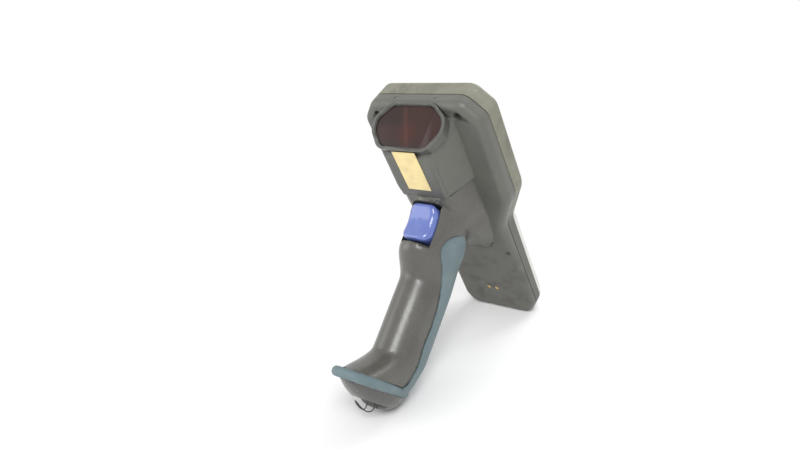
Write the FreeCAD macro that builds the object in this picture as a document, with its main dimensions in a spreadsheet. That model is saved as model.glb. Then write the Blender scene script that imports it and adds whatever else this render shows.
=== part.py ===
import FreeCAD, Part
import Sketcher
import math
import os
from FreeCAD import Placement, Rotation, Vector

# A gun-grip barcode data terminal: a slab-shaped handheld computer on a scanning handle.
# Terminal frame: X across, Y from the scanning end to the tail, Z out of the display face.
# The finished part stands on the grip's cap and on the tail edge, with +Z up.

doc = FreeCAD.newDocument("BarcodeTerminal")
sheet = doc.addObject("Spreadsheet::Sheet", "Sizes")

DRIVING = [
    # terminal casing
    ("BodyLength", 228.0), ("HeadHalf", 51.2), ("EndHalf", 38.5), ("CornerLength", 15.0),
    ("WaistStart", 88.0), ("WaistEnd", 121.0), ("LowerHalf", 34.5), ("TailHalf", 29.0),
    ("TailCorner", 12.0), ("CornerRound", 11.0), ("WaistRound", 22.0),
    ("PartingHead", 16.0), ("PartingTail", 12.5), ("PartingGap", 0.8), ("CoverWall", 3.0),
    ("FaceWall", 3.0), ("FaceRound", 3.5), ("BackHead", 27.5), ("BackSlopeStart", 80.0),
    ("BackSlopeEnd", 160.0), ("BackLower", 20.5), ("BackTail", 19.5), ("BackRound", 6.0),
    ("GasketWidth", 3.0), ("GasketInset", 0.7),
    # display
    ("DisplayWide", 72.0), ("DisplayLong", 92.0), ("DisplayStart", 15.0), ("GlassThick", 1.8),
    ("GlassSink", 0.4), ("GlassFit", 0.3), ("DisplayLedge", 3.0), ("LcdThick", 4.8),
    ("SeatGap", 0.2),
    # keypad
    ("KeypadStart", 124.0), ("KeypadEnd", 220.0), ("KeypadHalf", 31.8), ("BezelHigh", 4.6),
    ("BezelRound", 3.0), ("KeyWide", 11.0), ("KeyLong", 8.4), ("KeyPitchX", 14.6),
    ("KeyPitchY", 15.0), ("FirstKeyY", 152.0), ("KeyProud", 1.5), ("KeyGap", 0.4),
    ("KeyFlange", 0.9), ("FlangeThick", 1.0), ("KeyRound", 1.6),
    ("TopKeyY", 136.5), ("ScanKeyWide", 25.0), ("MatThick", 1.6), ("MatMargin", 3.0),
    ("KeyFieldHalf", 28.6), ("KeyFieldMargin", 8.0), ("PowerKeyRadius", 3.6), ("PowerKeyX", 24.0),
    ("PowerKeyY", 113.5),
    # inner pieces
    ("BoardThick", 1.6), ("BoardHalf", 29.0), ("BoardStart", 20.0), ("BoardEnd", 216.0),
    ("BatteryHalf", 25.0), ("BatteryStart", 146.0), ("BatteryEnd", 212.0), ("BatteryThick", 6.0),
    # nose and saddle
    ("NoseBaseHalf", 30.5), ("NoseTopHalf", 18.5), ("NoseHigh", 54.6), ("NoseHighRear", 52.6),
    ("NoseEnd", 64.0), ("NoseRound", 8.0), ("SeamGap", 0.3), ("WindowTopY", 1.4),
    ("WindowTopZ", 27.2), ("WindowLean", 58.0), ("NoseSetback", 8.0),
    ("CavityHalf", 19.0), ("CavityDeep", 34.0), ("CavityStart", 4.0), ("CavityEnd", 27.0),
    # scan window and hood
    ("GlassTopHalf", 17.0), ("GlassHalf", 28.5), ("GlassBottomHalf", 19.5), ("GlassHigh", 31.0),
    ("GlassUpper", 10.0), ("GlassLower", 18.5), ("GlassRound", 11.0), ("HoodRim", 2.4),
    ("HoodTaper", 4.5), ("WindowSink", 1.6), ("WindowThick", 2.0),
    ("HoodLedge", 2.2),
    # scan engine
    ("ChassisWall", 1.6), ("MirrorHalf", 7.0), ("MirrorHigh", 4.8), ("MirrorThick", 1.2),
    # grip
    ("GripRake", 25.0), ("TriggerHalf", 12.2), ("TriggerTop", 78.6), ("TriggerEnd", 107.4),
    ("TriggerGap", 0.9), ("TriggerFront", -37.0), ("TriggerBack", -57.0), ("TriggerDish", 3.2),
    ("TriggerPocket", -68.0), ("PinRadius", 1.5), ("PinFit", 0.05), ("PinHalf", 15.6),
    ("PinDown", 82.5), ("PinForward", -51.0),
    ("StrapProud", 1.1), ("RimStart", 208.6), ("RimThick", 7.0), ("RimRound", 3.3),
    ("RimHalf", 20.5), ("RimFront", -8.0), ("RimRear", -84.5),
    # tether
    ("CordDiameter", 0.8), ("EyeRadius", 0.6), ("EyeDeep", 5.0),
    # casing fasteners and contacts
    ("SideScrewX", 34.2), ("SideScrewY", 10.5), ("WellRadius", 3.4), ("WellDeep", 8.0),
    ("LowerScrewX", 30.2), ("LowerScrewY", 150.0), ("LowerWellRadius", 1.8),
    ("LowerWellDeep", 1.6), ("ScrewHead", 2.2), ("ScrewFit", 0.06),
    ("ContactX", 3.9), ("ContactY", 200.0), ("ContactRadius", 1.9), ("ContactDeep", 1.0),
    ("ContactProud", 0.35), ("EndScrewX", 17.5), ("EndScrewZ", 21.0), ("EndScrewRadius", 1.7),
    ("EndScrewDeep", 1.8), ("EndScrewSink", 0.4),
    ("GasketSeat", 0.05), ("BezelLift", 0.2), ("BezelCorner", 6.0), ("KeyEdge", 0.9),
    # label
    ("LabelHalf", 9.9), ("LabelStart", 21.8), ("LabelEnd", 57.0), ("LabelBase", 40.0),
    ("LabelThick", 0.5),
    # grip and trigger
    ("GripHalf", 18.2), ("GripFront", -49.6), ("GripRear", -95.6), ("SaddleReach", 86.0),
    ("SeatFit", 0.02), ("PocketEnd", 109.4), ("PocketRound", 1.2), ("DishRadius", 28.0),
    ("DishDown", 93.0), ("TriggerRound", 7.0), ("TriggerTopRound", 3.0),
    ("CapFront", -18.0), ("CapRear", -81.5), ("CapHalf", 18.0), ("CapBottom", 228.0),
    ("StepDeep", 3.6), ("StepRear", -56.6), ("EyeRightX", 2.0), ("EyeRightV", -54.4),
    ("EyeLeftX", -1.0), ("EyeLeftV", -49.8), ("CapScrewRadius", 2.2), ("CapScrewDeep", 1.6),
    ("CapScrewV", -42.5),
    ("SpringHalf", 3.0), ("SpringInner", 2.0), ("SpringOuter", 3.1), ("SpringSlot", 0.8),
    ("SpringLeg", 0.8),
    ("SwitchWide", 7.0), ("SwitchLong", 9.8), ("SwitchHigh", 5.0), ("SwitchDown", 86.0),
    # inside the nose
    ("EngineHalf", 17.5), ("EngineStart", 19.0), ("EngineEnd", 42.0), ("EngineHigh", 12.0),
    ("MirrorX", -6.5), ("MirrorY", 31.0), ("ShaftRadius", 0.9),
    ("LaserX", 10.5), ("LaserWide", 8.0), ("LaserStart", 26.0), ("LaserEnd", 38.0),
    ("LaserHigh", 8.0), ("CollectorX", 3.2), ("CollectorWide", 5.0), ("CollectorStart", 36.5),
    ("CollectorEnd", 39.5), ("CollectorHigh", 10.0),
]
for row, (alias, value) in enumerate(DRIVING, 1):
    sheet.set("A%d" % row, alias)
    sheet.set("B%d" % row, str(value))
    sheet.setAlias("B%d" % row, alias)
doc.recompute()


class Size:
    """A length that carries both its value and the sheet expression that gives it."""

    def __init__(self, value, text):
        self.value = value
        self.text = text

    def __add__(self, other):
        other = as_size(other)
        return Size(self.value + other.value, "(%s + %s)" % (self.text, other.text))

    def __sub__(self, other):
        other = as_size(other)
        return Size(self.value - other.value, "(%s - %s)" % (self.text, other.text))

    def __mul__(self, other):
        other = as_size(other)
        return Size(self.value * other.value, "(%s * %s)" % (self.text, other.text))

    def __truediv__(self, other):
        other = as_size(other)
        return Size(self.value / other.value, "(%s / %s)" % (self.text, other.text))

    def __neg__(self):
        return Size(-self.value, "(0 - %s)" % self.text)


def as_size(number):
    if isinstance(number, Size):
        return number
    return Size(float(number), repr(float(number)))


def size(alias):
    return Size(float(sheet.get(alias)), "Sizes." + alias)


def read(alias):
    return float(sheet.get(alias))


PIECES = {}


def keep(piece, label, own=Placement()):
    """Register a finished piece under its own name, with its place in the terminal frame."""
    piece.Label = label
    PIECES[label] = (piece, own)
    return piece


def new_body(label, own=Placement()):
    body = doc.addObject("PartDesign::Body", label)
    return keep(body, label, own)


def origin_plane(body, role):
    for feature in body.Origin.OriginFeatures:
        if feature.Role == role:
            return feature


def new_sketch(body, name, role, offset=None):
    """A sketch on one of the body's own origin planes, moved along the plane's normal."""
    drawing = body.newObject("Sketcher::SketchObject", name)
    drawing.AttachmentSupport = [(origin_plane(body, role), "")]
    drawing.MapMode = "FlatFace"
    if offset is not None:
        drawing.AttachmentOffset = Placement(Vector(0, 0, offset.value), Rotation())
        drawing.setExpression("AttachmentOffset.Base.z", offset.text)
    return drawing


def bind(drawing, kind, *where):
    """Add a constraint whose last argument is a Size and tie it to the sheet."""
    amount = where[-1]
    index = drawing.addConstraint(Sketcher.Constraint(kind, *where[:-1], amount.value))
    drawing.setExpression("Constraints[%d]" % index, amount.text)


def polygon(drawing, corners):
    """A closed outline of straight lines, each corner placed by two sheet expressions."""
    corners = [(as_size(a), as_size(b)) for a, b in corners]
    first = drawing.GeometryCount
    count = len(corners)
    for i in range(count):
        a = corners[i]
        b = corners[(i + 1) % count]
        drawing.addGeometry(Part.LineSegment(Vector(a[0].value, a[1].value, 0),
                                             Vector(b[0].value, b[1].value, 0)))
    for i in range(count):
        drawing.addConstraint(Sketcher.Constraint("Coincident", first + i, 2,
                                                  first + (i + 1) % count, 1))
    for i, (across, along) in enumerate(corners):
        bind(drawing, "DistanceX", -1, 1, first + i, 1, across)
        bind(drawing, "DistanceY", -1, 1, first + i, 1, along)
    return drawing


def circle(drawing, across, along, radius):
    across, along, radius = as_size(across), as_size(along), as_size(radius)
    index = drawing.addGeometry(Part.Circle(Vector(across.value, along.value, 0),
                                            Vector(0, 0, 1), radius.value))
    bind(drawing, "DistanceX", -1, 1, index, 3, across)
    bind(drawing, "DistanceY", -1, 1, index, 3, along)
    bind(drawing, "Radius", index, radius)
    return drawing


def pad(body, drawing, length, name="Pad", reverse=False, middle=False):
    feature = body.newObject("PartDesign::Pad", name)
    feature.Profile = drawing
    feature.Length = length.value
    feature.setExpression("Length", length.text)
    feature.Reversed = reverse
    feature.Midplane = middle
    doc.recompute()
    return feature


def pocket(body, drawing, name="Pocket", length=None, reverse=False, middle=False):
    """A pocket that has to remove material, through all unless a length is given."""
    before = body.Shape.Volume
    feature = body.newObject("PartDesign::Pocket", name)
    feature.Profile = drawing
    if length is None:
        feature.Type = 1
    else:
        feature.Length = length.value
        feature.setExpression("Length", length.text)
    feature.Reversed = reverse
    feature.Midplane = middle
    doc.recompute()
    if feature.Shape.isNull() or feature.Shape.Volume > before - 1e-3:
        raise RuntimeError("%s %s removes nothing" % (body.Label, name))
    return feature


def edges_where(shape, wanted):
    return ["Edge%d" % (i + 1) for i, edge in enumerate(shape.Edges) if wanted(edge)]


def is_upright(edge):
    a, b = edge.Vertexes[0].Point, edge.Vertexes[-1].Point
    return len(edge.Vertexes) == 2 and abs(a.x - b.x) < 1e-4 and abs(a.y - b.y) < 1e-4


def round_edges(body, wanted, radius, name="Fillet", kind="PartDesign::Fillet"):
    base = body.Tip
    feature = body.newObject(kind, name)
    feature.Base = (base, edges_where(base.Shape, wanted))
    if kind == "PartDesign::Fillet":
        feature.Radius = radius.value
        feature.setExpression("Radius", radius.text)
    else:
        feature.Size = radius.value
        feature.setExpression("Size", radius.text)
    doc.recompute()
    return feature


def casing_outline(inset):
    """Corners of the casing seen from the display: a wide head, a waist and a slim tail."""
    half = [
        (size("EndHalf") - inset * 0.6, inset),
        (size("HeadHalf") - inset, size("CornerLength") + inset * 0.4),
        (size("HeadHalf") - inset, size("WaistStart") - inset * 0.3),
        (size("LowerHalf") - inset, size("WaistEnd") - inset * 0.3),
        (size("LowerHalf") - inset, size("BodyLength") - size("TailCorner") - inset * 0.4),
        (size("TailHalf") - inset * 0.6, size("BodyLength") - inset),
    ]
    left = [(-x, y) for x, y in reversed(half)]
    return half + left


def parting_height(along):
    """Depth of the sloping joint between the two casing halves at a distance along."""
    slope = (size("PartingTail") - size("PartingHead")) / size("BodyLength")
    return -(size("PartingHead") + slope * along)


PAST = as_size(20.0)


def waist_edges(edge):
    y = edge.Vertexes[0].Point.y
    low = read("WaistStart") - 5.0
    high = read("WaistEnd") + 5.0
    return is_upright(edge) and low < y < high


def corner_edges(edge):
    return is_upright(edge) and not waist_edges(edge)


def casing_slab(body, inset, top, bottom):
    """The casing outline as a slab with rounded corners and waist."""
    outline = new_sketch(body, "Outline", "XY_Plane", top)
    polygon(outline, casing_outline(inset))
    pad(body, outline, top - bottom, reverse=True)
    round_edges(body, waist_edges, size("WaistRound"), "WaistRounds")
    round_edges(body, corner_edges, size("CornerRound") - inset * 0.5, "CornerRounds")


# Front cover: a khaki moulded tray, open towards the back, with the display and keypad openings.
PARTING_HALF = size("PartingGap") / 2.0
front = new_body("front_cover")
casing_slab(front, as_size(0.0), as_size(0.0), -(size("PartingHead") + 2.0))
below = new_sketch(front, "PartingCut", "YZ_Plane")
head_joint = parting_height(as_size(0.0) - PAST) + PARTING_HALF
tail_joint = parting_height(size("BodyLength") + PAST) + PARTING_HALF
polygon(below, [(-PAST, head_joint), (size("BodyLength") + PAST, tail_joint),
                (size("BodyLength") + PAST, as_size(-40.0)), (-PAST, as_size(-40.0))])
pocket(front, below, "PartingPocket", middle=True)


def on_face(edge):
    return all(abs(v.Point.z) < 1e-4 for v in edge.Vertexes)


round_edges(front, on_face, size("FaceRound"), "FaceRounds")
hollow = new_sketch(front, "Hollow", "XY_Plane", -size("FaceWall"))
polygon(hollow, casing_outline(size("CoverWall")))
pocket(front, hollow, "HollowPocket")
ledge = new_sketch(front, "GlassSeat", "XY_Plane")
GLASS_HALF = size("DisplayWide") / 2.0
DISPLAY_END = size("DisplayStart") + size("DisplayLong")
polygon(ledge, [(-GLASS_HALF, size("DisplayStart")), (GLASS_HALF, size("DisplayStart")),
                (GLASS_HALF, DISPLAY_END), (-GLASS_HALF, DISPLAY_END)])
pocket(front, ledge, "GlassPocket", size("GlassThick") + size("GlassSink"))
VIEW_HALF = GLASS_HALF - size("DisplayLedge")
opening = new_sketch(front, "ViewOpening", "XY_Plane")
polygon(opening, [(-VIEW_HALF, size("DisplayStart") + size("DisplayLedge")),
                  (VIEW_HALF, size("DisplayStart") + size("DisplayLedge")),
                  (VIEW_HALF, DISPLAY_END - size("DisplayLedge")),
                  (-VIEW_HALF, DISPLAY_END - size("DisplayLedge"))])
pocket(front, opening, "ViewPocket", size("FaceWall") + 1.0)
FIELD_START = size("KeypadStart") + size("KeyFieldMargin") * 0.7
FIELD_END = size("KeypadEnd") - size("KeyFieldMargin")
key_field = new_sketch(front, "KeyField", "XY_Plane")
polygon(key_field, [(-size("KeyFieldHalf"), FIELD_START), (size("KeyFieldHalf"), FIELD_START),
                    (size("KeyFieldHalf"), FIELD_END), (-size("KeyFieldHalf"), FIELD_END)])
pocket(front, key_field, "KeyFieldPocket", size("FaceWall") + 1.0)
power_hole = new_sketch(front, "PowerHole", "XY_Plane")
circle(power_hole, size("PowerKeyX"), size("PowerKeyY"), size("PowerKeyRadius") + size("KeyGap"))
pocket(front, power_hole, "PowerPocket", size("FaceWall") + 1.0)

# Display glass and the panel behind it.
glass = new_body("display_window")
sheet_outline = new_sketch(glass, "Outline", "XY_Plane", -size("GlassSink"))
polygon(sheet_outline, [(-GLASS_HALF + size("GlassFit"), size("DisplayStart") + size("GlassFit")),
                        (GLASS_HALF - size("GlassFit"), size("DisplayStart") + size("GlassFit")),
                        (GLASS_HALF - size("GlassFit"), DISPLAY_END - size("GlassFit")),
                        (-GLASS_HALF + size("GlassFit"), DISPLAY_END - size("GlassFit"))])
pad(glass, sheet_outline, size("GlassThick"), reverse=True)

lcd = new_body("lcd_panel")
lcd_outline = new_sketch(lcd, "Outline", "XY_Plane", -(size("FaceWall") + size("SeatGap")))
polygon(lcd_outline, [(-GLASS_HALF, size("DisplayStart")), (GLASS_HALF, size("DisplayStart")),
                      (GLASS_HALF, DISPLAY_END), (-GLASS_HALF, DISPLAY_END)])
pad(lcd, lcd_outline, size("LcdThick"), reverse=True)

# Back housing: the dark tray behind the joint, with a sloping back that thins towards the tail.
back = doc.addObject("PartDesign::Body", "back_blank")
casing_slab(back, as_size(0.0), as_size(-8.0), -size("BackHead"))
above = new_sketch(back, "PartingCut", "YZ_Plane")
head_seat = parting_height(as_size(0.0) - PAST) - PARTING_HALF
tail_seat = parting_height(size("BodyLength") + PAST) - PARTING_HALF
polygon(above, [(-PAST, head_seat), (size("BodyLength") + PAST, tail_seat),
                (size("BodyLength") + PAST, as_size(0.0)), (-PAST, as_size(0.0))])
pocket(back, above, "PartingPocket", middle=True)


def back_profile(shift):
    """The line of the back seen from the side, moved inwards by shift, as (y, z) corners."""
    return [(size("BackSlopeStart"), -(size("BackHead") - shift)),
            (size("BackSlopeEnd"), -(size("BackLower") - shift)),
            (size("BodyLength") + PAST, -(size("BackTail") - shift))]


slope = new_sketch(back, "BackSlope", "YZ_Plane")
polygon(slope, back_profile(as_size(0.0)) + [(size("BodyLength") + PAST, as_size(-60.0)),
                                             (size("BackSlopeStart"), as_size(-60.0))])
pocket(back, slope, "SlopePocket", middle=True)


def on_back_rim(edge):
    """Outer edges between the side walls and the back."""
    for v in edge.Vertexes:
        if v.Point.z > -read("BackTail") + 0.4:
            return False
    inner = edge.Vertexes[0].Point.x * edge.Vertexes[-1].Point.x < 0
    return not (inner and 5 < edge.Vertexes[0].Point.y < read("BodyLength") - 5)


round_edges(back, on_back_rim, size("BackRound"), "BackRounds")
hollow_back = new_sketch(back, "Hollow", "YZ_Plane")
WALL = size("CoverWall")
polygon(hollow_back, [(WALL, as_size(0.0)), (WALL, -(size("BackHead") - WALL)),
                      (size("BackSlopeStart"), -(size("BackHead") - WALL)),
                      (size("BackSlopeEnd"), -(size("BackLower") - WALL)),
                      (size("BodyLength") - WALL * 2.0, -(size("BackTail") - WALL)),
                      (size("BodyLength") - WALL * 2.0, as_size(0.0))])
pocket(back, hollow_back, "HollowPocket", (size("LowerHalf") - WALL * 1.6) * 2.0, middle=True)
side_rooms = new_sketch(back, "SideRooms", "XY_Plane", as_size(0.0))
ROOM_IN = size("LowerHalf") - WALL * 3.0
ROOM_OUT = size("HeadHalf") - WALL * 1.8
for side in (-1.0, 1.0):
    polygon(side_rooms, [(ROOM_IN * side, size("CornerLength") + 6.0),
                         (ROOM_OUT * side, size("CornerLength") + 6.0),
                         (ROOM_OUT * side, size("WaistStart") - WALL),
                         (ROOM_IN * side, size("WaistStart") - WALL)])
pocket(back, side_rooms, "SideRoomPocket", size("BackHead") - WALL * 2.0)
wells = new_sketch(back, "ScrewWells", "XY_Plane", -(size("BackHead") + 5.0))
for side in (-1.0, 1.0):
    circle(wells, size("SideScrewX") * side, size("SideScrewY"), size("WellRadius"))
pocket(back, wells, "WellPocket", size("WellDeep") + 5.0, reverse=True)
lower_wells = new_sketch(back, "LowerWells", "XY_Plane", -(size("BackHead") + 5.0))
for side in (-1.0, 1.0):
    circle(lower_wells, size("LowerScrewX") * side, size("LowerScrewY"), size("LowerWellRadius"))
pocket(back, lower_wells, "LowerWellPocket",
       size("BackHead") - size("BackLower") + size("LowerWellDeep") + 5.0, reverse=True)
contact_seat = new_sketch(back, "ContactSeat", "XY_Plane", -(size("BackHead") + 5.0))
for side in (-1.0, 1.0):
    circle(contact_seat, size("ContactX") * side, size("ContactY"), size("ContactRadius"))
pocket(back, contact_seat, "ContactPocket",
       size("BackHead") - size("BackTail") + size("ContactDeep") + 5.0, reverse=True)
end_holes = new_sketch(back, "EndHoles", "XZ_Plane", as_size(5.0))
for side in (-1.0, 1.0):
    circle(end_holes, size("EndScrewX") * side, -size("EndScrewZ"), size("EndScrewRadius"))
pocket(back, end_holes, "EndPocket", size("EndScrewDeep") + 5.0)

# Gasket: the dark rubber line squeezed into the joint, a closed ring just inside the casing's edge.
gasket = new_body("housing_gasket")
ring = new_sketch(gasket, "Ring", "XY_Plane", as_size(-8.0))
polygon(ring, casing_outline(size("GasketInset")))
pad(gasket, ring, as_size(14.0), reverse=True)
round_edges(gasket, waist_edges, size("WaistRound"), "WaistRounds")
round_edges(gasket, corner_edges, size("CornerRound") - size("GasketInset") * 0.5, "CornerRounds")
ring_hole = new_sketch(gasket, "RingHole", "XY_Plane", as_size(-8.0))
polygon(ring_hole, casing_outline(size("GasketInset") + size("GasketWidth")))
pocket(gasket, ring_hole, "RingPocket")
slab = new_sketch(gasket, "Slab", "YZ_Plane")
SEAT = size("GasketSeat")
polygon(slab, [(-PAST, head_joint - SEAT), (size("BodyLength") + PAST, tail_joint - SEAT),
               (size("BodyLength") + PAST, as_size(0.0)), (-PAST, as_size(0.0))])
polygon(slab, [(-PAST, head_seat + SEAT), (size("BodyLength") + PAST, tail_seat + SEAT),
               (size("BodyLength") + PAST, as_size(-60.0)), (-PAST, as_size(-60.0))])
pocket(gasket, slab, "SlabPocket", middle=True)


def plate(label, corners, top, thick):
    """A flat piece: an outline in the display plane, its upper face at top."""
    body = new_body(label)
    drawing = new_sketch(body, "Outline", "XY_Plane", top)
    polygon(drawing, corners)
    pad(body, drawing, thick, reverse=True)
    return body


def rectangle(half, start, end):
    return [(-half, start), (half, start), (half, end), (-half, end)]


# Keypad: a pale crowned bezel over a rubber mat, with a hole for each travelling key.
bezel = plate("keypad_bezel", rectangle(size("KeypadHalf"), size("KeypadStart"), size("KeypadEnd")),
              size("BezelHigh"), size("BezelHigh") - size("BezelLift"))
round_edges(bezel, is_upright, size("BezelCorner"), "CornerRounds")


def on_bezel_top(edge):
    return all(abs(v.Point.z - read("BezelHigh")) < 1e-4 for v in edge.Vertexes)


round_edges(bezel, on_bezel_top, size("BezelRound"), "TopRounds")
plate("keypad_mat", rectangle(size("KeyFieldHalf") + size("MatMargin") * 0.5,
                              FIELD_START - size("MatMargin"), FIELD_END + size("MatMargin")),
      -(size("FaceWall") + size("SeatGap")), size("MatThick"))

HALF_KEY = size("KeyWide") / 2.0
HALF_SCAN = size("ScanKeyWide") / 2.0
KEYS = []
ROW_NAMES = (("1", "2", "3", "escape"), ("4", "5", "6", "back"),
             ("7", "8", "9", "tab"), ("star", "0", "hash", "enter"))
for row, names in enumerate(ROW_NAMES):
    for column, name in enumerate(names):
        KEYS.append(("key_" + name, size("KeyPitchX") * (1.5 - column),
                     size("FirstKeyY") + size("KeyPitchY") * float(row), HALF_KEY))
KEYS.append(("key_left", size("KeyPitchX") * 1.5, size("TopKeyY"), HALF_KEY))
KEYS.append(("key_scan", as_size(0.0), size("TopKeyY"), HALF_SCAN))
KEYS.append(("key_right", -size("KeyPitchX") * 1.5, size("TopKeyY"), HALF_KEY))
HALF_LONG = size("KeyLong") / 2.0
holes = new_sketch(bezel, "KeyHoles", "XY_Plane", size("BezelHigh"))
GAP = size("KeyGap")
for label, across, along, half in KEYS:
    polygon(holes, [(across - half - GAP, along - HALF_LONG - GAP),
                    (across + half + GAP, along - HALF_LONG - GAP),
                    (across + half + GAP, along + HALF_LONG + GAP),
                    (across - half - GAP, along + HALF_LONG + GAP)])
pocket(bezel, holes, "KeyPockets")


def key_rectangle(across, along, half, grow):
    return [(across - half - grow, along - HALF_LONG - grow),
            (across + half + grow, along - HALF_LONG - grow),
            (across + half + grow, along + HALF_LONG + grow),
            (across - half - grow, along + HALF_LONG + grow)]


# Keys: a moulded cap with a flange that rests under the bezel and keeps the key from falling out.
KEY_TOP = size("BezelHigh") + size("KeyProud")
FLANGE_TOP = size("BezelLift") - size("SeatGap")
for label, across, along, half in KEYS:
    key = plate(label, key_rectangle(across, along, half, as_size(0.0)), KEY_TOP,
                KEY_TOP - FLANGE_TOP)
    round_edges(key, is_upright, size("KeyRound"), "CornerRounds")
    round_edges(key, lambda e: all(abs(v.Point.z - KEY_TOP.value) < 1e-4 for v in e.Vertexes),
                size("KeyEdge"), "TopBevels", "PartDesign::Chamfer")
    flange = new_sketch(key, "Flange", "XY_Plane", FLANGE_TOP)
    polygon(flange, key_rectangle(across, along, half, size("KeyFlange")))
    pad(key, flange, size("FlangeThick"), "FlangePad", reverse=True)

power = new_body("power_key")
power_cap = new_sketch(power, "Cap", "XY_Plane", size("KeyProud") * 0.5)
circle(power_cap, size("PowerKeyX"), size("PowerKeyY"), size("PowerKeyRadius"))
pad(power, power_cap, size("KeyProud") * 0.5 + size("FaceWall") + size("SeatGap"), reverse=True)
power_flange = new_sketch(power, "Flange", "XY_Plane", -(size("FaceWall") + size("SeatGap")))
circle(power_flange, size("PowerKeyX"), size("PowerKeyY"),
       size("PowerKeyRadius") + size("KeyFlange"))
pad(power, power_flange, size("FlangeThick"), "FlangePad", reverse=True)

# Main board, battery and the fasteners of the casing.
BOARD_TOP = -(size("FaceWall") + size("LcdThick") + size("SeatGap") * 2.0)
plate("main_board", rectangle(size("BoardHalf"), size("BoardStart"), size("BoardEnd")),
      BOARD_TOP, size("BoardThick"))
plate("battery_pack", rectangle(size("BatteryHalf"), size("BatteryStart"), size("BatteryEnd")),
      BOARD_TOP - size("BoardThick") - size("SeatGap"), size("BatteryThick"))


def pair(across, along):
    return [(-size(across), size(along)), (size(across), size(along))]


def round_group(label, spots, radius, low, high, along_y=False):
    """Like round pieces as separate solids in one node, between two heights."""
    heads = []
    for index, (across, along) in enumerate(spots):
        stud = doc.addObject("Part::Cylinder", "%s_%d" % (label, index))
        stud.Radius = radius.value
        stud.setExpression("Radius", radius.text)
        stud.Height = (high - low).value
        stud.setExpression("Height", (high - low).text)
        if along_y:
            stud.Placement = Placement(Vector(across.value, low.value, along.value),
                                       Rotation(Vector(1, 0, 0), -90))
            stud.setExpression("Placement.Base.y", low.text)
            stud.setExpression("Placement.Base.z", along.text)
        else:
            stud.Placement = Placement(Vector(across.value, along.value, low.value), Rotation())
            stud.setExpression("Placement.Base.y", along.text)
            stud.setExpression("Placement.Base.z", low.text)
        stud.setExpression("Placement.Base.x", across.text)
        heads.append(stud)
    group = doc.addObject("Part::Compound", label)
    group.Links = heads
    return keep(group, label)


SCREW_FIT = size("ScrewFit")
WELL_FLOOR = -(size("BackHead") - size("WellDeep"))
round_group("side_screws", pair("SideScrewX", "SideScrewY"), size("WellRadius") - SCREW_FIT,
            WELL_FLOOR - size("ScrewHead"), WELL_FLOOR)
LOWER_FLOOR = -(size("BackLower") - size("LowerWellDeep"))
round_group("lower_screws", pair("LowerScrewX", "LowerScrewY"),
            size("LowerWellRadius") - SCREW_FIT, LOWER_FLOOR - size("LowerWellDeep") * 0.6,
            LOWER_FLOOR)
CONTACT_FLOOR = -(size("BackTail") - size("ContactDeep"))
round_group("charge_contacts", pair("ContactX", "ContactY"), size("ContactRadius") - SCREW_FIT,
            CONTACT_FLOOR - size("ContactDeep") - size("ContactProud"), CONTACT_FLOOR)
round_group("end_screws", [(-size("EndScrewX"), -size("EndScrewZ")),
                           (size("EndScrewX"), -size("EndScrewZ"))],
            size("EndScrewRadius") - SCREW_FIT, size("EndScrewSink"), size("EndScrewDeep"),
            along_y=True)

# Scan head: the wedge of the nose on the casing's back, cut off at the window's slope.
nose = new_body("scan_head")
section = new_sketch(nose, "Section", "XZ_Plane", as_size(0.0))
polygon(section, [(-size("NoseBaseHalf"), -size("BackHead")),
                  (size("NoseBaseHalf"), -size("BackHead")),
                  (size("NoseTopHalf"), -size("NoseHigh")),
                  (-size("NoseTopHalf"), -size("NoseHigh"))])
pad(nose, section, size("NoseEnd"), reverse=True)
round_edges(nose, lambda e: e.Vertexes[0].Point.z < -read("NoseHigh") + 1
            and e.Vertexes[-1].Point.z < -read("NoseHigh") + 1
            and abs(e.Vertexes[0].Point.y - e.Vertexes[-1].Point.y) > 1, size("NoseRound"))
LEAN = math.radians(read("WindowLean"))
SLOPE_Y = Size(math.cos(LEAN), "cos(Sizes.WindowLean * 1 deg)")
SLOPE_Z = Size(math.sin(LEAN), "sin(Sizes.WindowLean * 1 deg)")


def on_slope(down, deep):
    """Side-view corner at a distance down the window's slope and a depth behind it."""
    return (size("WindowTopY") + SLOPE_Y * down + SLOPE_Z * deep,
            -size("WindowTopZ") - SLOPE_Z * down + SLOPE_Y * deep)


front_cut = new_sketch(nose, "FrontCut", "YZ_Plane")
SETBACK = size("NoseSetback")
polygon(front_cut, [on_slope(as_size(-6.0), SETBACK), on_slope(as_size(60.0), SETBACK),
                    (as_size(-30.0), as_size(-75.0)), (as_size(-30.0), as_size(-22.0))])
pocket(nose, front_cut, "FrontPocket", middle=True)
top_cut = new_sketch(nose, "TopCut", "YZ_Plane")
polygon(top_cut, [(as_size(-1.0), -size("NoseHigh")), (size("NoseEnd") + 1.0, -size("NoseHighRear")),
                  (size("NoseEnd") + 1.0, as_size(-70.0)), (as_size(-1.0), as_size(-70.0))])
pocket(nose, top_cut, "TopPocket", middle=True)
room = new_sketch(nose, "EngineRoom", "YZ_Plane")
polygon(room, [on_slope(size("CavityStart"), as_size(-1.0)), on_slope(size("CavityEnd"), as_size(-1.0)),
               on_slope(size("CavityEnd"), SETBACK + 4.0),
               (size("CavityDeep") + 10.0, -size("NoseHighRear") + 6.0),
               (size("CavityDeep") + 10.0, -size("BackHead") - 2.0),
               on_slope(size("CavityStart"), SETBACK + 4.0)])
pocket(nose, room, "RoomPocket", size("CavityHalf") * 2.0, middle=True)

WINDOW_TILT = Placement(Vector(0, read("WindowTopY"), -read("WindowTopZ")),
                        Rotation(Vector(1, 0, 0), -read("WindowLean")))


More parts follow.
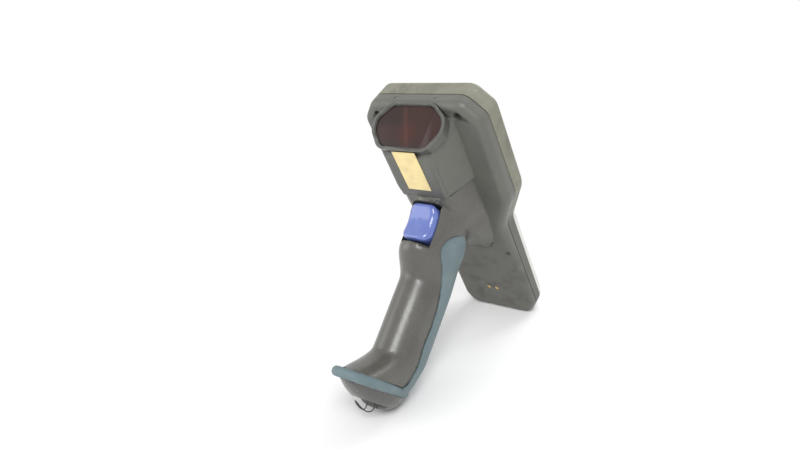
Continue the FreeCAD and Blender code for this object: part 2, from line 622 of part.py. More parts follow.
def window_outline(grow):
    """Eight corners of the scan window on its slope, each moved outwards by grow."""
    half = [(size("GlassTopHalf") + grow * 0.6, -grow),
            (size("GlassHalf") + grow, size("GlassUpper") - grow * 0.4),
            (size("GlassHalf") + grow, size("GlassLower") + grow * 0.4),
            (size("GlassBottomHalf") + grow * 0.6, size("GlassHigh") + grow)]
    return half + [(-x, y) for x, y in reversed(half)]


# Hood: the flared rim round the scan window, glued to the front of the nose.
hood = new_body("window_hood", WINDOW_TILT)
rim = new_sketch(hood, "Rim", "XY_Plane", as_size(0.0))
polygon(rim, window_outline(size("HoodRim")))
pad(hood, rim, size("NoseSetback") - size("SeamGap"))
hood.Tip.TaperAngle = -read("HoodTaper")
hood.Tip.setExpression("TaperAngle", "0 - Sizes.HoodTaper")
doc.recompute()
round_edges(hood, lambda e: abs(e.Vertexes[0].Point.z - e.Vertexes[-1].Point.z) > 3,
            size("GlassRound"), "CornerRounds")
seat = new_sketch(hood, "WindowSeat", "XY_Plane", as_size(0.0))
polygon(seat, window_outline(as_size(0.0)))
pocket(hood, seat, "SeatPocket", size("WindowSink") + size("WindowThick"), reverse=True)
round_edges(hood, is_upright, size("GlassRound") - 1.0, "SeatRounds")
beam = new_sketch(hood, "BeamOpening", "XY_Plane", as_size(0.0))
polygon(beam, window_outline(-size("HoodLedge")))
pocket(hood, beam, "BeamPocket", reverse=True)

lens = new_body("scan_window", WINDOW_TILT)
lens_outline = new_sketch(lens, "Outline", "XY_Plane", size("WindowSink"))
polygon(lens_outline, window_outline(-size("SeatGap")))
pad(lens, lens_outline, size("WindowThick"))
round_edges(lens, is_upright, size("GlassRound") - 1.0, "CornerRounds")

# The hood sinks a little into the end of the back housing, which has a matching recess.
recess = doc.addObject("PartDesign::Body", "hood_recess")
recess_outline = new_sketch(recess, "Outline", "XY_Plane", size("NoseSetback"))
polygon(recess_outline, window_outline(size("HoodRim") + size("SeamGap")))
pad(recess, recess_outline, size("NoseSetback") * 2.5, reverse=True)
round_edges(recess, is_upright, size("GlassRound"), "CornerRounds")
recess.Placement = WINDOW_TILT
housing = doc.addObject("Part::Cut", "back_housing")
housing.Base = back
housing.Tool = recess
keep(housing, "back_housing")

LABEL_HALF = size("LabelHalf")
label = new_body("label_plate")
label_outline = new_sketch(label, "Outline", "XY_Plane", -size("LabelBase"))
polygon(label_outline, rectangle(LABEL_HALF, size("LabelStart"), size("LabelEnd")))
pad(label, label_outline, size("LabelThick") + size("NoseHigh") - size("LabelBase"), reverse=True)
label_back = new_sketch(label, "LabelBack", "YZ_Plane")
FALL = (size("NoseHigh") - size("NoseHighRear")) / (size("NoseEnd") + 2.0)


def nose_line(along, out):
    return (along, -size("NoseHigh") + FALL * (along + 1.0) - out)


FACE_GAP = size("SeamGap") * 0.1
polygon(label_back, [nose_line(as_size(0.0), FACE_GAP), nose_line(as_size(90.0), FACE_GAP),
                     (as_size(90.0), as_size(-20.0)), (as_size(0.0), as_size(-20.0))])
pocket(label, label_back, "BackPocket", middle=True)
label_face = new_sketch(label, "LabelFace", "YZ_Plane")
THIN = size("LabelThick")
polygon(label_face, [nose_line(as_size(0.0), THIN), nose_line(as_size(90.0), THIN),
                     (as_size(90.0), as_size(-90.0)), (as_size(0.0), as_size(-90.0))])
pocket(label, label_face, "FacePocket", middle=True)

# Scan engine inside the nose: a tray on the nose floor with the mirror, laser, collector and board.
ENGINE_FLOOR = -size("BackHead") - 2.0 - size("SeatGap")
engine = new_body("scan_chassis")
tray = new_sketch(engine, "Tray", "XY_Plane", ENGINE_FLOOR)
polygon(tray, rectangle(size("EngineHalf"), size("EngineStart"), size("EngineEnd")))
pad(engine, tray, size("EngineHigh"), reverse=True)
tray_room = new_sketch(engine, "TrayRoom", "YZ_Plane")
polygon(tray_room, [(size("EngineStart") - 5.0, ENGINE_FLOOR - size("ChassisWall")),
                    (size("EngineEnd") - size("ChassisWall"), ENGINE_FLOOR - size("ChassisWall")),
                    (size("EngineEnd") - size("ChassisWall"), as_size(-90.0)),
                    (size("EngineStart") - 5.0, as_size(-90.0))])
pocket(engine, tray_room, "RoomPocket",
       (size("EngineHalf") - size("ChassisWall")) * 2.0, middle=True)
FLOOR_TOP = ENGINE_FLOOR - size("ChassisWall") - size("SeatGap")
MIRROR_Z = FLOOR_TOP - 1.0


def block(label, across, wide, start, end, low, high):
    """A plain inner piece between two heights, low being the one nearer the display."""
    return plate(label, [(across - wide / 2.0, start), (across + wide / 2.0, start),
                         (across + wide / 2.0, end), (across - wide / 2.0, end)],
                 low, low - high)


mirror = block("scan_mirror", size("MirrorX"), size("MirrorHalf") * 2.0,
               size("MirrorY") - size("MirrorThick") / 2.0,
               size("MirrorY") + size("MirrorThick") / 2.0,
               MIRROR_Z, MIRROR_Z - size("MirrorHigh") * 2.0)
shaft = new_sketch(mirror, "Shaft", "XY_Plane", FLOOR_TOP)
circle(shaft, size("MirrorX"), size("MirrorY"), size("ShaftRadius"))
pad(mirror, shaft, size("MirrorHigh") + 2.0, "ShaftPad", reverse=True)
block("laser_module", size("LaserX"), size("LaserWide"), size("LaserStart"),
      size("LaserEnd"), FLOOR_TOP, FLOOR_TOP - size("LaserHigh"))
block("light_collector", size("CollectorX"), size("CollectorWide"),
      size("CollectorStart"), size("CollectorEnd"), FLOOR_TOP,
      FLOOR_TOP - size("CollectorHigh"))
block("scan_board", as_size(0.0), size("EngineHalf") * 2.0, size("EngineEnd") + size("SeatGap"),
      size("EngineEnd") + size("SeatGap") + size("BoardThick"),
      ENGINE_FLOOR, ENGINE_FLOOR - size("EngineHigh") * 0.8)


# Grip frame: X across, Y forward out of the trigger side, Z down the grip.
GRIP_TILT = Placement(Vector(0, 0, 0), Rotation(Vector(1, 0, 0), read("GripRake") - 180.0))


def feature(label, shape, own=Placement()):
    piece = doc.addObject("Part::Feature", label)
    piece.Shape = shape
    return keep(piece, label, own)


def oval(station, grow=0.0):
    """One cross-section of the grip as an ellipse wire: station is (down, front, rear, half)."""
    down, front_edge, rear_edge, half = station
    long_axis = (front_edge - rear_edge) / 2.0 + grow
    short_axis = half + grow
    middle = Vector(0, (front_edge + rear_edge) / 2.0, down)
    if long_axis >= short_axis:
        curve = Part.Ellipse(middle + Vector(0, long_axis, 0), middle + Vector(short_axis, 0, 0),
                             middle)
    else:
        curve = Part.Ellipse(middle + Vector(short_axis, 0, 0), middle + Vector(0, -long_axis, 0),
                             middle)
    return Part.Wire([curve.toShape()])


GRIP_HALF = read("GripHalf")
GRIP_FRONT = read("GripFront")
GRIP_REAR = read("GripRear")
RIM_START = read("RimStart")
STATIONS = [
    (66.0, GRIP_FRONT + 11.0, GRIP_REAR - 1.0, GRIP_HALF + 2.0),
    (80.0, GRIP_FRONT + 13.5, GRIP_REAR - 1.0, GRIP_HALF + 2.0),
    (96.0, GRIP_FRONT + 11.5, GRIP_REAR - 1.0, GRIP_HALF + 1.8),
    (112.0, GRIP_FRONT + 13.0, GRIP_REAR, GRIP_HALF + 1.4),
    (119.0, GRIP_FRONT + 10.5, GRIP_REAR + 0.5, GRIP_HALF + 1.0),
    (128.0, GRIP_FRONT + 3.0, GRIP_REAR + 0.5, GRIP_HALF + 0.3),
    (140.0, GRIP_FRONT, GRIP_REAR, GRIP_HALF),
    (166.0, GRIP_FRONT, GRIP_REAR, GRIP_HALF),
    (182.0, GRIP_FRONT + 1.5, GRIP_REAR, GRIP_HALF),
    (192.0, GRIP_FRONT + 8.0, GRIP_REAR + 2.6, GRIP_HALF + 0.5),
    (200.0, GRIP_FRONT + 20.0, GRIP_REAR + 7.0, GRIP_HALF + 0.9),
    (RIM_START, GRIP_FRONT + 31.5, GRIP_REAR + 12.6, GRIP_HALF + 1.2),
]


def slab_under(profile, wide):
    """A block that fills the casing's side of a side-view line, to trim what seats on the back."""
    corners = [Vector(-wide, y, z) for y, z in profile]
    corners.append(Vector(-wide, profile[-1][0], 10.0))
    corners.append(Vector(-wide, profile[0][0], 10.0))
    face = Part.Face(Part.makePolygon(corners + [corners[0]]))
    return face.extrude(Vector(2.0 * wide, 0, 0))


SKIN = read("SeatFit")
BACK_LINE = [(0.0, -read("BackHead") - SKIN), (read("BackSlopeStart"), -read("BackHead") - SKIN),
             (read("BackSlopeEnd"), -read("BackLower") - SKIN),
             (read("BodyLength"), -read("BackTail") - SKIN)]
CASING_SIDE = slab_under(BACK_LINE, 60.0)


def saddle_wire(along, base_half, top_half, top, corner):
    """One cross-section of the saddle: a trapezoid with its two upper corners rounded."""
    base = -16.0
    lean = math.atan2(top - base, base_half - top_half)
    low = Vector(base_half, along, -abs(base))
    high = Vector(top_half, along, -abs(top))
    side = (high - low).normalize()
    turn = math.acos(max(-1.0, min(1.0, side.dot(Vector(-1, 0, 0)))))
    cut = corner * math.tan(turn / 2.0)
    start = high - side * cut
    end = high + Vector(-cut, 0, 0)
    centre = end + Vector(0, 0, corner)
    middle = centre + (high - centre).normalize() * corner
    points = [low, start, middle, end]
    mirror_points = [Vector(-p.x, p.y, p.z) for p in points]
    edges = [
        Part.LineSegment(mirror_points[0], low).toShape(),
        Part.LineSegment(low, start).toShape(),
        Part.Arc(start, middle, end).toShape(),
        Part.LineSegment(end, mirror_points[3]).toShape(),
        Part.Arc(mirror_points[3], mirror_points[2], mirror_points[1]).toShape(),
        Part.LineSegment(mirror_points[1], mirror_points[0]).toShape(),
    ]
    return Part.Wire(edges)


SEAM_Y = read("NoseEnd") + read("SeamGap")
REACH = read("SaddleReach")
HIGH = read("NoseHighRear")
saddle = Part.makeLoft([
    saddle_wire(SEAM_Y, read("NoseBaseHalf") + 2.6, read("NoseTopHalf"), HIGH, read("NoseRound")),
    saddle_wire(SEAM_Y + REACH * 0.28, read("NoseBaseHalf") + 2.6, read("NoseTopHalf") + 0.5,
                HIGH - 3.0, 9.0),
    saddle_wire(SEAM_Y + REACH * 0.52, read("NoseBaseHalf") + 1.5, read("NoseTopHalf"), HIGH - 10.5,
                9.0),
    saddle_wire(SEAM_Y + REACH * 0.78, read("NoseBaseHalf") - 1.5, read("NoseTopHalf") - 2.0,
                HIGH - 22.0, 6.0),
    saddle_wire(SEAM_Y + REACH, read("NoseBaseHalf") - 6.5, read("NoseTopHalf") - 5.0,
                HIGH - 33.0, 3.0),
], True, False)
core = Part.makeLoft([oval(station) for station in STATIONS], True, False)
core_here = core.copy()
core_here.Placement = GRIP_TILT
body_of_grip = saddle.fuse(core_here)
ahead = Part.makeBox(140, 60 + SEAM_Y, 80, Vector(-70, -60, -60))
body_of_grip = body_of_grip.cut(ahead).cut(CASING_SIDE)


def grip_rod(radius, reach, forward, down):
    """A rod across the grip, centred, in the terminal frame."""
    rod = Part.makeCylinder(radius, 2 * reach, Vector(-reach, forward, down), Vector(1, 0, 0))
    rod.Placement = GRIP_TILT
    return rod


POCKET_HALF = read("TriggerHalf") + read("TriggerGap")
trigger_room = Part.makeBox(2 * POCKET_HALF, 70.0, read("PocketEnd") - read("TriggerTop")
                            + read("TriggerGap"),
                            Vector(-POCKET_HALF, read("TriggerPocket"),
                                   read("TriggerTop") - read("TriggerGap")))
room_corners = [edge for edge in trigger_room.Edges
                if abs(edge.Vertexes[0].Point.y - edge.Vertexes[-1].Point.y) > 1]
trigger_room = trigger_room.makeFillet(read("PocketRound"), room_corners)
trigger_room.Placement = GRIP_TILT
body_of_grip = body_of_grip.cut(trigger_room)
PIN = (read("PinForward"), read("PinDown"))
body_of_grip = body_of_grip.cut(grip_rod(read("PinRadius") + read("PinFit"), read("PinHalf"), *PIN))
feature("grip_shell", body_of_grip)

# Strap: the teal rubber over the back of the grip, with the bumper rim round the foot.
UNDER_RIM = (RIM_START + read("RimThick") * 0.5, GRIP_FRONT + 36.0, GRIP_REAR + 15.0,
             GRIP_HALF + 0.8)
jacket = Part.makeLoft([oval(station, read("StrapProud")) for station in STATIONS + [UNDER_RIM]],
                       True, False)
EDGE = [(-72.0, 90.0), (-62.5, 93.5), (-55.5, 100.0), (-53.0, 108.0), (-56.5, 116.0),
        (-62.0, 124.0), (-67.6, 134.0), (-71.2, 154.0), (-72.0, 178.0), (-67.5, 196.0),
        (-56.0, 211.0)]
front_line = Part.BSplineCurve()
front_line.interpolate([Vector(0, v, w) for v, w in EDGE])
rear_line = Part.BSplineCurve()
rear_line.interpolate([Vector(0, -95.0, 103.0), Vector(0, -84.0, 99.0), Vector(0, -79.0, 93.5),
                       Vector(0, -72.0, 90.0)])
region_wire = Part.Wire([
    rear_line.toShape(), front_line.toShape(),
    Part.LineSegment(Vector(0, -56.0, 211.0), Vector(0, -120.0, 211.0)).toShape(),
    Part.LineSegment(Vector(0, -120.0, 211.0), Vector(0, -120.0, 103.0)).toShape(),
    Part.LineSegment(Vector(0, -120.0, 103.0), Vector(0, -95.0, 103.0)).toShape(),
])
region = Part.Face(region_wire).extrude(Vector(60, 0, 0))
region.translate(Vector(-30, 0, 0))
jacket = jacket.common(region)
jacket.Placement = GRIP_TILT
jacket = jacket.cut(saddle.fuse(core_here)).cut(CASING_SIDE)
RIM = (read("RimFront"), read("RimRear"), read("RimHalf"))
rim_plate = Part.Face(oval((RIM_START,) + RIM)).extrude(Vector(0, 0, read("RimThick")))
rim_plate = rim_plate.makeFillet(read("RimRound"), [e for e in rim_plate.Edges if e.Closed])
rim_plate.Placement = GRIP_TILT
strap_shape = jacket.fuse(rim_plate)
feature("grip_strap", strap_shape)

# Base cap: the dark hull that closes the foot under the rim.
CAP_TOP = RIM_START + read("RimThick")
CAP_BOTTOM = read("CapBottom")
CAP_DEEP = CAP_BOTTOM - CAP_TOP
HULL = [
    (CAP_TOP, read("CapFront"), read("CapRear"), read("CapHalf")),
    (CAP_TOP + CAP_DEEP * 0.35, read("CapFront") - 7.0, read("CapRear") + 2.5,
     read("CapHalf") - 1.5),
    (CAP_TOP + CAP_DEEP * 0.68, read("CapFront") - 16.0, read("CapRear") + 7.0,
     read("CapHalf") - 4.5),
    (CAP_TOP + CAP_DEEP * 0.9, read("CapFront") - 25.0, read("CapRear") + 12.5,
     read("CapHalf") - 9.0),
    (CAP_BOTTOM, read("CapFront") - 32.0, read("CapRear") + 17.5, read("CapHalf") - 13.0),
]
hull = Part.makeLoft([oval(station) for station in HULL], True, False)
STEP_AT = CAP_BOTTOM - read("StepDeep")
hull = hull.cut(Part.makeBox(80, 90, 20, Vector(-40, read("StepRear"), STEP_AT)))
for across, forward in ((read("EyeRightX"), read("EyeRightV")), (read("EyeLeftX"), read("EyeLeftV"))):
    hull = hull.cut(Part.makeCylinder(read("EyeRadius"), read("EyeDeep") + 1.0,
                                      Vector(across, forward, STEP_AT - read("EyeDeep"))))
CAP_SCREW_R = read("CapScrewRadius")
screw_spot = Vector(0, read("CapScrewV"), STEP_AT - read("CapScrewDeep"))
hull = hull.cut(Part.makeCylinder(CAP_SCREW_R, read("CapScrewDeep") + 1.0, screw_spot))
feature("base_cap", hull, GRIP_TILT)
feature("cap_screw", Part.makeCylinder(CAP_SCREW_R - read("ScrewFit"), read("CapScrewDeep") * 0.8,
                                       screw_spot), GRIP_TILT)

# Trigger: the blue finger pull, hinged on a steel pin near its upper end.
trigger = new_body("trigger", GRIP_TILT)
side = new_sketch(trigger, "SideView", "YZ_Plane")
polygon(side, [(size("TriggerBack"), size("TriggerTop")), (size("TriggerFront"), size("TriggerTop")),
               (size("TriggerFront"), size("TriggerEnd")),
               (size("TriggerBack"), size("TriggerEnd"))])
pad(trigger, side, size("TriggerHalf") * 2.0, middle=True)


def on_trigger_front(edge):
    at_front = all(abs(v.Point.y - read("TriggerFront")) < 1e-4 for v in edge.Vertexes)
    return at_front and abs(edge.Vertexes[0].Point.z - edge.Vertexes[-1].Point.z) > 0.5


def on_trigger_top(edge):
    return all(abs(v.Point.z - read("TriggerTop")) < 1e-4
               and v.Point.y > read("TriggerBack") + 0.1 for v in edge.Vertexes)


round_edges(trigger, on_trigger_front, size("TriggerRound"), "FrontRounds")
round_edges(trigger, on_trigger_top, size("TriggerTopRound"), "TopRounds")
dish = new_sketch(trigger, "Dish", "YZ_Plane")
circle(dish, size("TriggerFront") - size("TriggerDish") + size("DishRadius"), size("DishDown"),
       size("DishRadius"))
pocket(trigger, dish, "DishPocket", middle=True)
pin_hole = new_sketch(trigger, "PinHole", "YZ_Plane")
circle(pin_hole, size("PinForward"), size("PinDown"), size("PinRadius") + size("PinFit"))
pocket(trigger, pin_hole, "PinPocket", middle=True)
spring_slot = new_sketch(trigger, "SpringSlot", "YZ_Plane")
SLOT_REACH = size("SpringOuter") + size("SpringSlot")
polygon(spring_slot, [(size("TriggerBack") - 1.0, size("TriggerTop") - 1.0),
                      (size("PinForward") + SLOT_REACH, size("TriggerTop") - 1.0),
                      (size("PinForward") + SLOT_REACH, size("PinDown") + SLOT_REACH),
                      (size("TriggerBack") - 1.0, size("PinDown") + SLOT_REACH + 1.5)])
pocket(trigger, spring_slot, "SlotPocket",
       (size("SpringHalf") + size("SpringSlot")) * 2.0, middle=True)

pin = doc.addObject("Part::Cylinder", "trigger_pin")
pin.setExpression("Radius", "Sizes.PinRadius")
pin.setExpression("Height", "Sizes.PinHalf * 2")
keep(pin, "trigger_pin", GRIP_TILT.multiply(Placement(
    Vector(-read("PinHalf"), read("PinForward"), read("PinDown")),
    Rotation(Vector(0, 1, 0), 90))))


# Inside the grip: the trigger's return spring, its switch, and the screw that holds the cap.
SPRING_AT = Vector(-read("SpringHalf"), read("PinForward"), read("PinDown"))
ACROSS = Vector(1, 0, 0)
spring = Part.makeCylinder(read("SpringOuter"), read("SpringHalf") * 2.0, SPRING_AT, ACROSS)
leg_height = read("SpringOuter") - read("SpringLeg")
leg_back = read("TriggerPocket") + read("SeatFit")
leg = Part.makeBox(read("SpringLeg"), read("PinForward") - leg_back, read("SpringLeg"),
                   Vector(-read("SpringHalf"), leg_back, read("PinDown") + leg_height))
spring = spring.fuse(leg)
spring = spring.cut(Part.makeCylinder(read("SpringInner"), read("SpringHalf") * 2.0, SPRING_AT,
                                      ACROSS))
feature("trigger_spring", spring, GRIP_TILT)
switch_box = Part.makeBox(read("SwitchWide"), read("SwitchLong"), read("SwitchHigh"),
                          Vector(-read("SwitchWide") / 2.0,
                                 read("TriggerPocket") + read("SeatFit"), read("SwitchDown")))
feature("trigger_switch", switch_box, GRIP_TILT)

# Standing place: the part rests on the cap and on the tail edge, its box centred on the origin.
doc.recompute()


def tilted(label, angle):
    """A copy of a piece turned with the whole part about X by an angle in degrees."""
    piece, own = PIECES[label]
    shape = piece.Shape.copy()
    shape.Placement = Placement(Vector(0, 0, 0), Rotation(Vector(1, 0, 0), angle)).multiply(own)
    return shape.optimalBoundingBox(False, False)


low_angle, high_angle = -80.0, -50.0
for step in range(24):
    middle_angle = (low_angle + high_angle) / 2.0
    cap_low = min(tilted("base_cap", middle_angle).ZMin, tilted("grip_strap", middle_angle).ZMin)
    tail_low = min(tilted("back_housing", middle_angle).ZMin,
                   tilted("front_cover", middle_angle).ZMin)
    if cap_low < tail_low:
        high_angle = middle_angle
    else:
        low_angle = middle_angle
STAND_ANGLE = middle_angle
boxes = [tilted(label, STAND_ANGLE) for label in PIECES]
LIFT = -min(box.ZMin for box in boxes)
SHIFT = -(min(box.YMin for box in boxes) + max(box.YMax for box in boxes)) / 2.0
STAND = Placement(Vector(0, SHIFT, LIFT), Rotation(Vector(1, 0, 0), STAND_ANGLE))
print("stand angle %.4f shift %.4f lift %.4f" % (STAND_ANGLE, SHIFT, LIFT))

# Tether: a thin cord out of one eye of the cap, round in a loose loop and back into the other.
ROUTE = [
    Vector(2.0, -86.0, 13.6),
    Vector(2.5, -86.9, 10.9),
    Vector(2.4, -89.1, 8.8),
    Vector(1.0, -92.0, 8.8),
    Vector(-0.8, -94.4, 11.2),
    Vector(-2.6, -95.7, 14.6),
    Vector(-4.9, -95.8, 17.2),
    Vector(-7.6, -94.8, 17.6),
    Vector(-9.3, -93.3, 15.4),
    Vector(-9.0, -92.4, 12.1),
    Vector(-7.0, -92.0, 9.5),
    Vector(-4.2, -91.6, 8.9),
    Vector(-2.1, -91.2, 10.8),
    Vector(-1.1, -90.5, 13.6),
    Vector(-1.0, -89.4, 16.4),
]


def cord_tube(points, diameter):
    """A round tube along straight runs joined by tangent arcs; returns the solid and length."""
    edges = []
    start = points[0]
    for before, corner, after in zip(points, points[1:], points[2:]):
        arrive = (corner - before).normalize()
        leave = (after - corner).normalize()
        run = min(corner.distanceToPoint(before), corner.distanceToPoint(after))
        half_turn = arrive.getAngle(leave) / 2.0
        set_back = 0.45 * run
        radius = set_back / math.tan(half_turn)
        print("cord radius %.2f mm" % radius)
        first = corner - arrive * set_back
        last = corner + leave * set_back
        inward = (leave - arrive).normalize()
        nearest = corner + inward * (radius / math.cos(half_turn) - radius)
        edges.append(Part.LineSegment(start, first).toShape())
        edges.append(Part.Arc(first, nearest, last).toShape())
        start = last
    edges.append(Part.LineSegment(start, points[-1]).toShape())
    path = Part.Wire(edges)
    outline = Part.Wire([Part.Circle(points[0], points[1] - points[0], diameter / 2.0).toShape()])
    tube = path.makePipeShell([outline], True, False)
    expected = math.pi * diameter ** 2 / 4.0 * path.Length
    print("cord length %.1f mm, volume %.3f of section by length" % (path.Length,
                                                                     tube.Volume / expected))
    return tube


for label, (piece, own) in PIECES.items():
    piece.Placement = STAND.multiply(own)
feature("tether_cord", cord_tube(ROUTE, read("CordDiameter")))
doc.recompute()

# Last checks, then one file for each piece.
for item in doc.Objects:
    if "Invalid" in item.State or "Error" in item.State:
        raise RuntimeError("%s failed: %s" % (item.Label, item.State))
os.makedirs("parts", exist_ok=True)
for label, (piece, own) in PIECES.items():
    shape = piece.Shape
    if shape.isNull() or not shape.isValid() or shape.Volume <= 0:
        raise RuntimeError("%s has no sound shape" % label)
    shape.exportStep("parts/%s.step" % label)
    print("%-16s %d solid(s) %9.0f mm3" % (label, len(shape.Solids), shape.Volume))
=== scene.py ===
import math

import bmesh
import bpy
from mathutils import Matrix, Vector
from mathutils.bvhtree import BVHTree


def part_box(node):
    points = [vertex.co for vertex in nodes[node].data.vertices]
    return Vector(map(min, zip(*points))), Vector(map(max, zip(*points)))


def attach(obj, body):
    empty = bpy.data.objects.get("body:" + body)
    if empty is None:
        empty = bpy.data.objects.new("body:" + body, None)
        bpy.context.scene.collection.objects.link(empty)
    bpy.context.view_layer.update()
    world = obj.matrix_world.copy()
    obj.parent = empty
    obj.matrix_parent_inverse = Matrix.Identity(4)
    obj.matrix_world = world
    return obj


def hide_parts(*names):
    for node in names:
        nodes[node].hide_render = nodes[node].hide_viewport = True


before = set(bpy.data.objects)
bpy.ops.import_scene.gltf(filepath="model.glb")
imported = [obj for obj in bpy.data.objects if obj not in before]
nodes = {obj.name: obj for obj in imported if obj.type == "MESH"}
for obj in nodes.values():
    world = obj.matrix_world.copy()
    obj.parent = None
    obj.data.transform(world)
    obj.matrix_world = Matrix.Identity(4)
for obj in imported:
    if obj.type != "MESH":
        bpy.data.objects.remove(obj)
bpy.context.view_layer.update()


# Khaki front cover: one half of the moulded casing, seen from the back as a worn band
# round the edge. Satin plastic, scuffed pale and dark by years of being set down.
class Flow:
    """A shader value that can stand in a Python expression."""

    def __init__(self, finish, socket):
        self.finish = finish
        self.socket = socket

    def join(self, operation, first, second):
        return self.finish.node("ShaderNodeMath", {"operation": operation},
                                {0: first, 1: second})

    def __add__(self, other):
        return self.join("ADD", self, other)

    def __sub__(self, other):
        return self.join("SUBTRACT", self, other)

    def __rsub__(self, other):
        return self.join("SUBTRACT", other, self)

    def __mul__(self, other):
        return self.join("MULTIPLY", self, other)

    __radd__ = __add__
    __rmul__ = __mul__


class Finish:
    """A procedural material with one Principled shader, in the object's own coordinates."""

    def __init__(self, name, **constants):
        self.material = bpy.data.materials.new(name)
        self.material.use_nodes = True
        self.tree = self.material.node_tree
        self.shader = self.tree.nodes["Principled BSDF"]
        for socket, number in constants.items():
            self.shader.inputs[socket.replace("_", " ")].default_value = number
        self.place = self.node("ShaderNodeTexCoord", {}, {}, "Object")

    def node(self, kind, settings, inputs, output=0):
        made = self.tree.nodes.new(kind)
        for name, setting in settings.items():
            setattr(made, name, setting)
        for name, value in inputs.items():
            if isinstance(value, Flow):
                self.tree.links.new(value.socket, made.inputs[name])
            else:
                made.inputs[name].default_value = value
        return Flow(self, made.outputs[output])

    def noise(self, scale, detail=4.0):
        return self.node("ShaderNodeTexNoise", {},
                         {"Vector": self.place, "Scale": scale, "Detail": detail})

    def band(self, value, low, high):
        """A soft step from 0 at low to 1 at high."""
        return self.node("ShaderNodeMapRange", {"interpolation_type": "SMOOTHSTEP"},
                         {"Value": value, "From Min": low, "From Max": high})

    def mix(self, factor, first, second):
        """A colour between two colours."""
        return self.node("ShaderNodeMix", {"data_type": "RGBA"},
                         {0: factor, 6: first, 7: second}, 2)

    def along(self, direction):
        """Distance of a point along a direction, in metres."""
        return self.node("ShaderNodeVectorMath", {"operation": "DOT_PRODUCT"},
                         {0: self.place, 1: direction}, "Value")

    def drive(self, socket, value):
        self.tree.links.new(value.socket, self.shader.inputs[socket])

    def bump(self, height, distance, strength=0.6):
        self.drive("Normal", self.node("ShaderNodeBump", {}, {
            "Height": height, "Strength": strength, "Distance": distance}))


def smooth_copy(node, finish, body="terminal", crease=31.0):
    """A merged, smooth-shaded copy of a moulded piece, standing for its CAD node."""
    mesh = nodes[node].data.copy()
    mesh.name = node + "_skin"
    shell = bmesh.new()
    shell.from_mesh(mesh)
    bmesh.ops.remove_doubles(shell, verts=shell.verts, dist=2e-6)
    shell.to_mesh(mesh)
    shell.free()
    mesh.materials.clear()
    mesh.materials.append(finish.material)
    mesh.polygons.foreach_set("material_index", [0] * len(mesh.polygons))
    mesh.shade_smooth()
    mesh.set_sharp_from_angle(angle=math.radians(crease))
    piece = bpy.data.objects.new(node + "_skin", mesh)
    bpy.context.scene.collection.objects.link(piece)
    weigh = piece.modifiers.new("Weighting", "WEIGHTED_NORMAL")
    weigh.keep_sharp = True
    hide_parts(node)
    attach(piece, body)
    return piece


OUT = (0.0, 0.922399, 0.386238)      # from the back to the display
DOWN = (0.0, 0.386238, -0.922399)    # from the head to the tail
FACE_AT = 0.106284
HEAD_AT = -0.189777
WAIST_FROM, WAIST_TO = HEAD_AT + 0.112, HEAD_AT + 0.122
khaki = Finish("khaki_plastic", Roughness=0.5)
grime = khaki.band(khaki.noise(55.0, 6.0), 0.42, 0.68)
rubbed = khaki.band(khaki.noise(210.0, 5.0), 0.58, 0.72)
scuffs = khaki.band(khaki.noise(900.0, 3.0), 0.6, 0.7)
mottled = khaki.mix(grime * 0.7, (0.192, 0.190, 0.145, 1), (0.12, 0.118, 0.09, 1))
mottled = khaki.mix(rubbed * 0.4, mottled, (0.31, 0.31, 0.25, 1))
mottled = khaki.mix(scuffs * 0.5, mottled, (0.11, 0.11, 0.085, 1))
below_waist = khaki.band(khaki.along(DOWN), WAIST_FROM, WAIST_TO)
near_joint = khaki.band(khaki.along(OUT), FACE_AT - 0.0046, FACE_AT - 0.0052)
lower_shell = khaki.mix(near_joint, (0.66, 0.66, 0.62, 1), (0.105, 0.105, 0.095, 1))
khaki.drive("Base Color", khaki.mix(below_waist, mottled, lower_shell))
khaki.drive("Roughness", 0.42 + khaki.noise(130.0) * 0.25)
khaki.bump(khaki.noise(600.0, 2.0) + scuffs * -0.3, 0.00003, 0.3)
smooth_copy("front_cover", khaki)

# Gasket: a soft black ring squeezed between the two casing halves, seen as the dark line
# of the joint. Moulded rubber, dusty and matt.
gasket = Finish("gasket_rubber", Roughness=0.85)
dust = gasket.band(gasket.noise(260.0, 5.0), 0.45, 0.75)
gasket.drive("Base Color", gasket.mix(dust * 0.5, (0.012, 0.012, 0.012, 1),
                                      (0.05, 0.05, 0.045, 1)))
gasket.bump(gasket.noise(1500.0), 0.00005)
smooth_copy("housing_gasket", gasket)
smooth_copy("keypad_mat", gasket)

# Back housing and scan head: fine-textured dark plastic, mouldings joined by thin seams.
# The lower back is smudged and rubbed near the tail, where it sits in a cradle.
dark = Finish("dark_plastic", Roughness=0.42)
cloud = dark.band(dark.noise(26.0, 5.0), 0.35, 0.7)
handled = dark.band(dark.noise(140.0, 6.0), 0.52, 0.72)
low_end = dark.band(dark.along(DOWN), -0.075, 0.005)
stains = dark.band(dark.noise(95.0, 7.0), 0.48, 0.66) * low_end
shade = dark.mix(cloud, (0.112, 0.112, 0.098, 1), (0.092, 0.092, 0.081, 1))
shade = dark.mix(handled * 0.25, shade, (0.14, 0.14, 0.125, 1))
dark.drive("Base Color", dark.mix(stains * 0.5, shade, (0.05, 0.046, 0.038, 1)))
dark.drive("Roughness", 0.42 + handled * 0.14)
dark.bump(dark.noise(1800.0, 1.0), 0.00002, 0.4)
smooth_copy("back_housing", dark)
smooth_copy("scan_head", dark)

